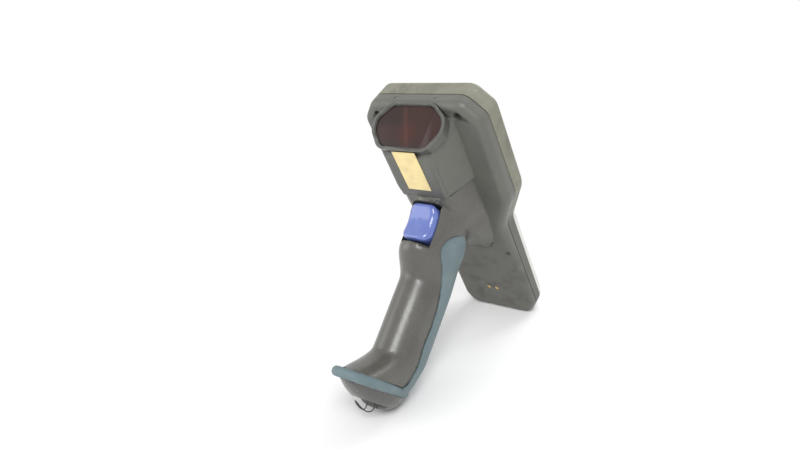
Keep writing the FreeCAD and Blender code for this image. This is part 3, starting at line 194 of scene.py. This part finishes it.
# Window hood: the flared rim glued to the front of the nose, smoother than the nose and
# polished along its lip by handling.
rim = Finish("hood_plastic", Roughness=0.3, Coat_Weight=0.25, Coat_Roughness=0.2)
soft = rim.band(rim.noise(70.0, 5.0), 0.4, 0.7)
rim.drive("Base Color", rim.mix(soft, (0.078, 0.078, 0.070, 1), (0.060, 0.060, 0.054, 1)))
rim.drive("Roughness", 0.28 + rim.noise(240.0) * 0.2)
rim.bump(rim.noise(1500.0, 1.0), 0.00001, 0.4)
smooth_copy("window_hood", rim)

# Scan window: a flat pane of dark red filter plastic let into the hood. The mirror and
# tray behind it show as a faint slanting bar, and a dull red spot of painted glow stands for
# the light inside.
pane = Finish("red_window", Roughness=0.2, Specular_IOR_Level=0.25)
slant = pane.along((0.86, -0.2, 0.47))
bar = pane.band(slant, 0.0875, 0.0885) - pane.band(slant, 0.0905, 0.0915)
murk = pane.band(pane.noise(38.0, 2.0), 0.35, 0.7)
pane_low, pane_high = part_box("scan_window")
lit_spot = (pane_low + pane_high) / 2.0 + Vector(DOWN) * 0.009
away = pane.node("ShaderNodeVectorMath", {"operation": "DISTANCE"},
                 {0: pane.place, 1: tuple(lit_spot)}, "Value")
tinted = pane.mix(murk, (0.040, 0.019, 0.016, 1), (0.026, 0.016, 0.014, 1))
# Painted glow: the pane's colour turns a brighter red round the spot, strongest at its middle
# and gone about 15 mm out.
painted_glow = pane.mix(pane.band(away, 0.015, 0.002) * 0.55, tinted,
                (0.10, 0.018, 0.013, 1))
pane.drive("Base Color", pane.mix(bar * 0.2, painted_glow, (0.13, 0.045, 0.038, 1)))
pane.drive("Roughness", 0.16 + pane.noise(320.0) * 0.1)
smooth_copy("scan_window", pane)

# Label: a blank film stuck on the nose under the window. Printed stock in faded yellow,
# left bare here, with a little dirt rubbed into it.
film = Finish("label_film", Roughness=0.45)
fade = film.band(film.noise(120.0, 5.0), 0.4, 0.7)
fleck = film.band(film.noise(900.0, 3.0), 0.62, 0.7)
faded = film.mix(fade, (0.84, 0.69, 0.33, 1), (0.74, 0.60, 0.30, 1))
film.drive("Base Color", film.mix(fleck * 0.4, faded, (0.42, 0.33, 0.16, 1)))
film.drive("Roughness", 0.4 + film.noise(300.0) * 0.15)
film.bump(film.noise(500.0), 0.00003)
smooth_copy("label_plate", film)

# Screws, pin and return spring: plated steel, turned heads seated in their wells. Each screw
# head on the casing has its cross recess drawn as painted shade, a thin dark cross as wide
# as its own driver.
steel = Finish("steel", Metallic=1.0, Roughness=0.35)
tarnish = steel.band(steel.noise(700.0, 4.0), 0.4, 0.7)
steel.drive("Base Color", steel.mix(tarnish, (0.55, 0.55, 0.54, 1), (0.33, 0.32, 0.30, 1)))
steel.drive("Roughness", 0.25 + tarnish * 0.25)
steel.bump(steel.noise(4000.0), 0.00002)
for fastener in ("side_screws", "lower_screws", "end_screws", "cap_screw", "trigger_pin",
                 "trigger_spring"):
    smooth_copy(fastener, steel)

STAND_TURN = -67.2794
STAND = (Matrix.Translation((0.0, 0.0247369, 0.2161008))
         @ Matrix.Rotation(math.radians(STAND_TURN), 4, "X"))
CROSS_THIN = 0.00004
# Painted shade: each screw head gets a thin near-black cross that stands for the shade inside
# its cross recess.
recess_shade = Finish("cross_recess_shade", Roughness=0.6)
recess_shade.drive("Base Color", recess_shade.mix(recess_shade.noise(900.0), (0.02, 0.02, 0.02, 1),
                                      (0.04, 0.04, 0.035, 1)))
crosses = bpy.data.node_groups.new("CrossRecessShades", "GeometryNodeTree")
crosses.interface.new_socket("Geometry", in_out="INPUT",
                             socket_type="NodeSocketGeometry")
for label in ("Long", "Narrow", "Thin", "Lean"):
    crosses.interface.new_socket(label, in_out="INPUT", socket_type="NodeSocketFloat")
crosses.interface.new_socket("Geometry", in_out="OUTPUT",
                             socket_type="NodeSocketGeometry")


def step(kind, **inputs):
    """One node of the tree of painted cross recess shades, with its inputs linked or set by
    name.
    """
    made = crosses.nodes.new(kind)
    for name, value in inputs.items():
        socket = made.inputs[name.replace("_", " ")]
        if isinstance(value, bpy.types.NodeSocket):
            crosses.links.new(value, socket)
        else:
            socket.default_value = value
    return made


given = step("NodeGroupInput").outputs
arm_size = step("ShaderNodeCombineXYZ", X=given["Long"], Y=given["Narrow"],
                Z=given["Thin"]).outputs[0]
arm = step("GeometryNodeMeshCube", Size=arm_size).outputs[0]
arm_across = step("GeometryNodeTransform", Geometry=arm,
                  Rotation=(0, 0, math.pi / 2)).outputs[0]
both = step("GeometryNodeJoinGeometry")
crosses.links.new(arm, both.inputs[0])
crosses.links.new(arm_across, both.inputs[0])
tilt = step("ShaderNodeCombineXYZ", X=given["Lean"], Y=0.0, Z=0.0).outputs[0]
placed = step("GeometryNodeInstanceOnPoints", Points=given["Geometry"],
              Instance=both.outputs[0], Rotation=tilt).outputs[0]
real = step("GeometryNodeRealizeInstances", Geometry=placed).outputs[0]
painted = step("GeometryNodeSetMaterial", Geometry=real, Material=recess_shade.material).outputs[0]
step("NodeGroupOutput", Geometry=painted)
for name, spots, lean, long in (
        ("side_cross", [(-0.0342, 0.0105, -0.02171), (0.0342, 0.0105, -0.02171)], 0.0, 0.0044),
        ("lower_cross", [(-0.0302, 0.150, -0.01987), (0.0302, 0.150, -0.01987)], 0.0, 0.0022),
        ("end_cross", [(-0.0175, 0.00039, -0.021), (0.0175, 0.00039, -0.021)], 90.0, 0.0022)):
    heads = bpy.data.meshes.new(name)
    heads.from_pydata([STAND @ Vector(spot) for spot in spots], [], [])
    points = bpy.data.objects.new(name, heads)
    bpy.context.scene.collection.objects.link(points)
    grow = points.modifiers.new("Crosses", "NODES")
    grow.node_group = crosses
    sizes = {"Long": long, "Narrow": long * 0.2, "Thin": CROSS_THIN,
             "Lean": math.radians(lean + STAND_TURN)}
    for item in crosses.interface.items_tree:
        if item.in_out == "INPUT" and item.name in sizes:
            grow[item.identifier] = sizes[item.name]
    bpy.context.view_layer.update()
    plain = bpy.data.meshes.new_from_object(
        points.evaluated_get(bpy.context.evaluated_depsgraph_get()))
    points.modifiers.remove(grow)
    points.data = plain
    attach(points, "terminal")

# Charging contacts: two turned brass studs, gold plated, pressed into the lower back and
# worn by the cradle. The laser module inside the nose has the same brass barrel.
gold = Finish("contact_gold", Metallic=1.0, Roughness=0.28)
worn = gold.band(gold.noise(900.0, 4.0), 0.4, 0.7)
gold.drive("Base Color", gold.mix(worn, (0.80, 0.58, 0.22, 1), (0.55, 0.40, 0.18, 1)))
gold.drive("Roughness", 0.22 + worn * 0.2)
for stud in ("charge_contacts", "laser_module"):
    smooth_copy(stud, gold)

# Grip: saddle and handle in one moulding, seated on the back. It is the same dark plastic
# but rubbed smoother by the palm, so it shows a long speckled highlight.
palm = Finish("grip_plastic", Roughness=0.36, Coat_Weight=0.22, Coat_Roughness=0.3)
speckle = palm.band(palm.noise(1500.0, 2.0), 0.5, 0.66)
smear = palm.band(palm.noise(45.0, 5.0), 0.35, 0.7)
skin = palm.mix(smear, (0.088, 0.086, 0.075, 1), (0.066, 0.064, 0.056, 1))
palm.drive("Base Color", palm.mix(speckle * 0.25, skin, (0.13, 0.128, 0.115, 1)))
palm.drive("Roughness", 0.26 + speckle * 0.14 + smear * 0.08)
palm.bump(palm.noise(1300.0, 1.0), 0.00004, 0.5)
GRIP = STAND @ Matrix.Rotation(math.radians(-155.0), 4, "X")
HANDLE_TOP, HANDLE_NECK, HANDLE_FOOT = 0.112, 0.134, 0.2086
FRONT_LINE, REAR_LINE, HALF_WIDE = -0.0496, -0.0956, 0.0182
FRONT_FLARE, REAR_FLARE, LEAN = 0.0315, 0.0126, 0.006
cad_grip = nodes["grip_shell"].data
handle = BVHTree.FromPolygons([GRIP.inverted() @ v.co for v in cad_grip.vertices],
                              [tuple(face.vertices) for face in cad_grip.polygons])


def ramp(value, low, high):
    """A soft step from 0 to 1."""
    share = min(1.0, max(0.0, (value - low) / (high - low)))
    return share * share * (3.0 - 2.0 * share)


def flare(down, start, power):
    """How far the foot's flare has opened at this height, from 0 to 1."""
    return max(0.0, (down - start) / (HANDLE_FOOT - start)) ** power


def straighten(piece):
    """Draw the handle as one straight oval bar that flares into the foot."""
    mesh = piece.data
    for vertex in mesh.vertices:
        across, forward, down = GRIP.inverted() @ vertex.co
        if not HANDLE_TOP < down < HANDLE_FOOT - 0.0001:
            continue
        front = handle.ray_cast(Vector((0, 0.05, down)), Vector((0, -1, 0)))[0].y
        rear = handle.ray_cast(Vector((0, -0.2, down)), Vector((0, 1, 0)))[0].y
        middle = (front + rear) / 2.0
        half = handle.ray_cast(Vector((0.1, middle, down)), Vector((-1, 0, 0)))[0].x
        swell = 1.0 - ramp(down, HANDLE_TOP, HANDLE_NECK)
        lean = LEAN * max(0.0, (down - HANDLE_NECK) / (HANDLE_FOOT - HANDLE_NECK))
        new_front = (FRONT_LINE + 0.013 * swell + lean
                     + (FRONT_FLARE - LEAN) * flare(down, 0.189, 1.3))
        new_rear = REAR_LINE + lean + (REAR_FLARE - LEAN) * flare(down, 0.186, 1.3)
        new_half = HALF_WIDE + 0.0014 * swell + 0.0012 * ramp(down, 0.184, HANDLE_FOOT)
        forward = ((new_front + new_rear) / 2.0
                   + (forward - middle) * (new_front - new_rear) / (front - rear))
        vertex.co = GRIP @ Vector((across * new_half / half, forward, down))
    mesh.update()


straighten(smooth_copy("grip_shell", palm))

# Strap: soft teal rubber moulded over the back of the grip, ending in the bumper rim
# round the foot. Matt, with dust in its grain.
teal = Finish("teal_rubber", Roughness=0.62)
dusty = teal.band(teal.noise(85.0, 6.0), 0.4, 0.72)
grain = teal.noise(1900.0, 3.0)
teal.drive("Base Color", teal.mix(dusty * 0.6, (0.115, 0.165, 0.180, 1),
                                  (0.185, 0.235, 0.245, 1)))
teal.drive("Roughness", 0.52 + dusty * 0.2)
teal.bump(grain, 0.00007, 0.6)
straighten(smooth_copy("grip_strap", teal))

# Base cap: a smooth dark moulded hull that closes the foot under the rim, held by one
# screw in its step and scratched where it stands.
hull = Finish("cap_plastic", Roughness=0.28, Coat_Weight=0.2, Coat_Roughness=0.15)
scratch = hull.band(hull.noise(130.0, 5.0), 0.45, 0.75)
hull.drive("Base Color", hull.mix(scratch, (0.072, 0.072, 0.066, 1),
                                  (0.10, 0.10, 0.092, 1)))
hull.drive("Roughness", 0.26 + scratch * 0.18)
hull.bump(hull.noise(900.0, 1.0), 0.00001)
smooth_copy("base_cap", hull)

# Trigger: a finger pull moulded in glossy blue plastic, hinged on a steel pin near its
# upper end and dished for the finger. It is drawn as rings that shrink from edge to middle.
blue = Finish("blue_plastic", Roughness=0.2, Coat_Weight=0.5, Coat_Roughness=0.08)
haze = blue.band(blue.noise(90.0, 5.0), 0.4, 0.7)
blue.drive("Base Color", blue.mix(haze * 0.5, (0.105, 0.150, 0.43, 1), (0.14, 0.19, 0.465, 1)))
blue.drive("Roughness", 0.16 + haze * 0.14)
blue.bump(blue.noise(1600.0), 0.00002)
PULL_HALF, PULL_TOP, PULL_END, PULL_BACK = 0.0122, 0.0786, 0.1074, -0.057
CORNER, LIP = 0.0072, 0.0046
DISH_RADIUS, DISH_MIDDLE, DISH_AXIS, PULL_FRONT = 0.028, 0.093, -0.0122, -0.037
MID, TALL = (PULL_TOP + PULL_END) / 2.0, (PULL_END - PULL_TOP) / 2.0


def pull_ring(inset, deep=None):
    """One ring of the trigger, moved inwards by inset and following the finger's dish."""
    round_off = max(CORNER - inset, 0.0006)
    fall = LIP - math.sqrt(LIP ** 2 - max(0.0, LIP - inset) ** 2)
    outline = []
    for quarter in range(4):
        side = 1.0 if quarter in (0, 3) else -1.0
        end = 1.0 if quarter in (0, 1) else -1.0
        for tick in range(9):
            turn = math.radians(quarter * 90.0 + tick * 11.25)
            outline.append((
                side * (PULL_HALF - inset - round_off) + round_off * math.cos(turn),
                MID + end * (TALL - inset - round_off) + round_off * math.sin(turn)))
    ring = []
    for index, (across, down) in enumerate(outline):
        after = outline[(index + 1) % len(outline)]
        pieces = 16 if index % 9 == 8 else 1
        for part in range(pieces):
            share = part / pieces
            x = across + (after[0] - across) * share
            w = down + (after[1] - down) * share
            hollow = math.sqrt(DISH_RADIUS ** 2 - (w - DISH_MIDDLE) ** 2)
            dish = min(PULL_FRONT, DISH_AXIS - hollow)
            ring.append(GRIP @ Vector((x, dish - fall if deep is None else deep, w)))
    return ring


rings = [pull_ring(0.0, PULL_BACK), pull_ring(0.0, PULL_BACK + 0.006)]
rings += [pull_ring(LIP * (1.0 - math.cos(math.radians(a)))) for a in range(0, 91, 10)]
rings += [pull_ring(LIP + i * 0.0006) for i in range(1, 12)]
pull_shape = bmesh.new()
loops = [[pull_shape.verts.new(spot) for spot in ring] for ring in rings]
for outer, inner in zip(loops, loops[1:]):
    for i in range(len(outer)):
        j = (i + 1) % len(outer)
        pull_shape.faces.new((outer[i], outer[j], inner[j], inner[i]))
pull_shape.faces.new(loops[0])
pull_shape.faces.new(loops[-1])
bmesh.ops.recalc_face_normals(pull_shape, faces=pull_shape.faces)
pull_mesh = bpy.data.meshes.new("trigger_pull")
pull_shape.to_mesh(pull_mesh)
pull_shape.free()
pull_mesh.materials.append(blue.material)
pull_mesh.shade_smooth()
pull_mesh.set_sharp_from_angle(angle=math.radians(35))
pull = bpy.data.objects.new("trigger_pull", pull_mesh)
bpy.context.scene.collection.objects.link(pull)


def carve(radius, middle, sizes):
    """Cut a round hole across the trigger, or a slot where radius is nothing."""
    tool = bmesh.new()
    if radius:
        bmesh.ops.create_cone(tool, cap_ends=True, segments=48, radius1=radius,
                              radius2=radius, depth=0.04,
                              matrix=GRIP @ Matrix.Translation(middle)
                              @ Matrix.Rotation(math.pi / 2, 4, "Y"))
    else:
        bmesh.ops.create_cube(tool, size=1.0, matrix=GRIP @ Matrix.Translation(middle)
                              @ Matrix.Diagonal((*sizes, 1.0)))
    cutter_mesh = bpy.data.meshes.new("cutter")
    tool.to_mesh(cutter_mesh)
    tool.free()
    cutter = bpy.data.objects.new("cutter", cutter_mesh)
    bpy.context.scene.collection.objects.link(cutter)
    cut = pull.modifiers.new("Cut", "BOOLEAN")
    cut.operation = "DIFFERENCE"
    cut.solver = "EXACT"
    cut.object = cutter
    bpy.context.view_layer.update()
    carved = bpy.data.meshes.new_from_object(
        pull.evaluated_get(bpy.context.evaluated_depsgraph_get()))
    pull.modifiers.remove(cut)
    pull.data = carved
    bpy.data.objects.remove(cutter)


carve(0.00155, Vector((0, -0.051, 0.0825)), None)
carve(None, Vector((0, -0.0526, 0.0824)), (0.0076, 0.0110, 0.0096))
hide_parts("trigger")
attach(pull, "trigger")

# Tether: a thin braided black cord, out of one eye in the cap's step, round in a loose loop
# and back into the other.
ROUTE = [
    (0.0020, -0.0860, 0.0136), (0.0025, -0.0869, 0.0109), (0.0024, -0.0891, 0.0088),
    (0.0010, -0.0920, 0.0088), (-0.0008, -0.0944, 0.0112), (-0.0026, -0.0957, 0.0146),
    (-0.0049, -0.0958, 0.0172), (-0.0076, -0.0948, 0.0176), (-0.0093, -0.0933, 0.0154),
    (-0.0090, -0.0924, 0.0121), (-0.0070, -0.0920, 0.0095), (-0.0042, -0.0916, 0.0089),
    (-0.0021, -0.0912, 0.0108), (-0.0011, -0.0905, 0.0136), (-0.0010, -0.0894, 0.0164),
]
CORD_THICK = 0.0008
braid = Finish("cord_fabric", Roughness=0.75)
strand = braid.band(braid.noise(3500.0, 2.0), 0.4, 0.6)
braid.drive("Base Color", braid.mix(strand, (0.018, 0.018, 0.02, 1), (0.07, 0.07, 0.075, 1)))
braid.bump(strand, 0.00006, 0.7)
line = bpy.data.curves.new("tether_loop", "CURVE")
line.dimensions = "3D"
line.bevel_depth = CORD_THICK / 2.0
line.bevel_resolution = 4
line.resolution_u = 8
line.use_fill_caps = True
spline = line.splines.new("NURBS")
spline.points.add(len(ROUTE) - 1)
for point, spot in zip(spline.points, ROUTE):
    point.co = (*spot, 1.0)
spline.order_u = 3
spline.use_endpoint_u = True
line.materials.append(braid.material)
tether = bpy.data.objects.new("tether_loop", line)
bpy.context.scene.collection.objects.link(tether)
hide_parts("tether_cord")
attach(tether, "terminal")

# Display: a clear plastic pane, bonded into the cover over a dim grey-green panel that is
# switched off. Smeared by fingers.
clear = Finish("display_glass", Roughness=0.05, Alpha=0.55, Coat_Weight=0.4,
               Coat_Roughness=0.04)
smear_marks = clear.band(clear.noise(60.0, 6.0), 0.45, 0.7)
clear.drive("Base Color", clear.mix(smear_marks, (0.085, 0.10, 0.085, 1),
                                    (0.12, 0.135, 0.12, 1)))
clear.drive("Roughness", 0.04 + smear_marks * 0.12)
smooth_copy("display_window", clear)
panel = Finish("lcd_panel", Roughness=0.3)
panel.drive("Base Color", panel.mix(panel.noise(90.0), (0.12, 0.15, 0.12, 1),
                                    (0.16, 0.19, 0.155, 1)))
smooth_copy("lcd_panel", panel)

# Keypad: a pale crowned bezel over a rubber mat, with moulded rubber keys that travel into
# it. The digits are printed on the keys in pale ink, and the other keys are left bare.
pale = Finish("pale_plastic", Roughness=0.45)
yellowing = pale.band(pale.noise(40.0, 5.0), 0.4, 0.7)
pale.drive("Base Color", pale.mix(yellowing, (0.66, 0.67, 0.64, 1), (0.58, 0.58, 0.53, 1)))
pale.drive("Roughness", 0.4 + pale.noise(200.0) * 0.15)
pale.bump(pale.noise(2600.0), 0.00004)
smooth_copy("keypad_bezel", pale)
keys = Finish("key_rubber", Roughness=0.55)
rubbed_top = keys.band(keys.noise(300.0, 5.0), 0.45, 0.7)
keys.drive("Base Color", keys.mix(rubbed_top * 0.5, (0.085, 0.09, 0.095, 1),
                                  (0.15, 0.155, 0.16, 1)))
keys.bump(keys.noise(2400.0), 0.00004)
ink = Finish("legend_ink", Roughness=0.5)
ink.drive("Base Color", ink.mix(ink.noise(800.0), (0.85, 0.85, 0.82, 1), (0.7, 0.7, 0.67, 1)))
TURN = Matrix(((-1, 0, 0), (0, -DOWN[1], OUT[1]), (0, -DOWN[2], OUT[2]))).to_4x4()
DIGIT_TALL, INK_THICK, INK_LIFT = 0.0062, 0.00004, 0.00002
for name in [node for node in nodes if node.startswith("key_") or node == "power_key"]:
    if name == "keypad_mat":
        continue
    smooth_copy(name, keys, name)
    digit = name[4:]
    if digit.isdigit():
        low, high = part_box(name)
        centre = (low + high) / 2.0
        top = max(Vector(OUT).dot(v.co) for v in nodes[name].data.vertices)
        centre += Vector(OUT) * (top - Vector(OUT).dot(centre) + INK_LIFT)
        text = bpy.data.curves.new("digit_" + digit, "FONT")
        text.body = digit
        text.size = DIGIT_TALL
        text.align_x = "CENTER"
        text.align_y = "CENTER"
        text.extrude = INK_THICK
        writing = bpy.data.objects.new("digit_" + digit, text)
        bpy.context.scene.collection.objects.link(writing)
        bpy.context.view_layer.update()
        shape = bpy.data.meshes.new_from_object(writing.evaluated_get(
            bpy.context.evaluated_depsgraph_get()))
        bpy.data.objects.remove(writing)
        shape.transform(Matrix.Translation(centre) @ TURN)
        shape.materials.clear()
        shape.materials.append(ink.material)
        legend = bpy.data.objects.new("legend_" + digit, shape)
        bpy.context.scene.collection.objects.link(legend)
        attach(legend, name)

# Inner pieces: printed boards, a wrapped battery, a die-cast scan chassis, silvered mirror
# and collector, and the trigger's switch. Each has a plain finish of its own kind.
board = Finish("board", Roughness=0.4)
tracks = board.node("ShaderNodeTexVoronoi", {"feature": "DISTANCE_TO_EDGE"},
                    {"Vector": board.place, "Scale": 260.0}, "Distance")
board.drive("Base Color", board.mix(board.band(tracks, 0.02, 0.07), (0.05, 0.22, 0.10, 1),
                                    (0.02, 0.13, 0.06, 1)))
for plate in ("main_board", "scan_board"):
    smooth_copy(plate, board)
wrap = Finish("battery_wrap", Roughness=0.5)
wrap.drive("Base Color", wrap.mix(wrap.noise(120.0), (0.09, 0.11, 0.19, 1),
                                  (0.06, 0.07, 0.13, 1)))
smooth_copy("battery_pack", wrap)
cast = Finish("cast_aluminium", Metallic=1.0, Roughness=0.5)
cast.drive("Base Color", cast.mix(cast.noise(400.0), (0.55, 0.56, 0.58, 1),
                                  (0.42, 0.43, 0.45, 1)))
cast.bump(cast.noise(1800.0), 0.00005)
smooth_copy("scan_chassis", cast)
silver = Finish("mirror_silver", Metallic=1.0, Roughness=0.05)
silver.drive("Base Color", silver.mix(silver.noise(60.0), (0.88, 0.89, 0.9, 1),
                                      (0.8, 0.81, 0.83, 1)))
smooth_copy("light_collector", silver)
smooth_copy("scan_mirror", silver, "scan_mirror")
switch = Finish("switch_plastic", Roughness=0.5)
switch.drive("Base Color", switch.mix(switch.noise(300.0), (0.05, 0.05, 0.05, 1),
                                      (0.03, 0.03, 0.03, 1)))
smooth_copy("trigger_switch", switch)

# Floor and light: a pale floor under plain soft lamps. Away from the object the floor fades
# to the white of the surround, for the camera alone.
ground = Finish("pale_floor", Roughness=0.9)
ground.drive("Base Color", ground.mix(ground.noise(3.0), (0.86, 0.86, 0.86, 1),
                                      (0.88, 0.88, 0.88, 1)))
distance = ground.node("ShaderNodeVectorMath", {"operation": "LENGTH"},
                       {0: ground.place}, "Value")
looked_at = ground.node("ShaderNodeLightPath", {}, {}, "Is Camera Ray")
blank = ground.node("ShaderNodeEmission", {}, {"Color": (1, 1, 1, 1), "Strength": 1.0})
fading = ground.node("ShaderNodeMixShader", {}, {
    0: looked_at * ground.band(distance, 0.16, 0.42),
    1: Flow(ground, ground.shader.outputs[0]), 2: blank})
ground.tree.links.new(fading.socket, ground.tree.nodes["Material Output"].inputs["Surface"])
floor_mesh = bpy.data.meshes.new("floor")
floor_mesh.from_pydata([(-6, -6, 0), (6, -6, 0), (6, 6, 0), (-6, 6, 0)], [], [(0, 1, 2, 3)])
floor_mesh.materials.append(ground.material)
floor = bpy.data.objects.new("floor", floor_mesh)
bpy.context.scene.collection.objects.link(floor)

world = bpy.data.worlds.new("surround")
bpy.context.scene.world = world
world.use_nodes = True
air = world.node_tree
backdrop = air.nodes["Background"]
light_path = air.nodes.new("ShaderNodeLightPath")
seen = air.nodes.new("ShaderNodeMath")
seen.operation = "MAXIMUM"
air.links.new(light_path.outputs["Is Camera Ray"], seen.inputs[0])
air.links.new(light_path.outputs["Is Glossy Ray"], seen.inputs[1])
strength = air.nodes.new("ShaderNodeMapRange")
air.links.new(seen.outputs[0], strength.inputs["Value"])
strength.inputs["To Min"].default_value = 0.62
strength.inputs["To Max"].default_value = 1.0
air.links.new(strength.outputs["Result"], backdrop.inputs["Strength"])
backdrop.inputs["Color"].default_value = (1, 1, 1, 1)


def lamp(name, spot, target, wide, power):
    """A square soft lamp at a spot, turned to its target."""
    light = bpy.data.lights.new(name, "AREA")
    light.size = wide
    light.energy = power
    placed = bpy.data.objects.new(name, light)
    placed.location = spot
    placed.rotation_euler = (Vector(target) - Vector(spot)).to_track_quat("-Z", "Y").to_euler()
    bpy.context.scene.collection.objects.link(placed)


MIDDLE = (0.0, -0.02, 0.11)
lamp("key", (0.55, -0.65, 0.95), MIDDLE, 0.5, 9.0)
lamp("fill", (-0.9, -0.7, 0.5), MIDDLE, 0.9, 5.0)
lamp("back", (0.1, 0.9, 0.9), MIDDLE, 0.8, 7.0)

eye = bpy.data.cameras.new("camera")
eye.sensor_width = 36.0
eye.lens = 31.08
eye.clip_start = 0.01
camera = bpy.data.objects.new("camera", eye)
camera.matrix_world = Matrix((
    (0.78884, -0.12140, 0.60249, 0.292778),
    (0.60160, 0.35308, -0.71653, -0.378205),
    (-0.12574, 0.92769, 0.35156, 0.296770),
    (0, 0, 0, 1),
))
bpy.context.scene.collection.objects.link(camera)
bpy.context.scene.camera = camera
bpy.context.scene.view_settings.view_transform = "Standard"
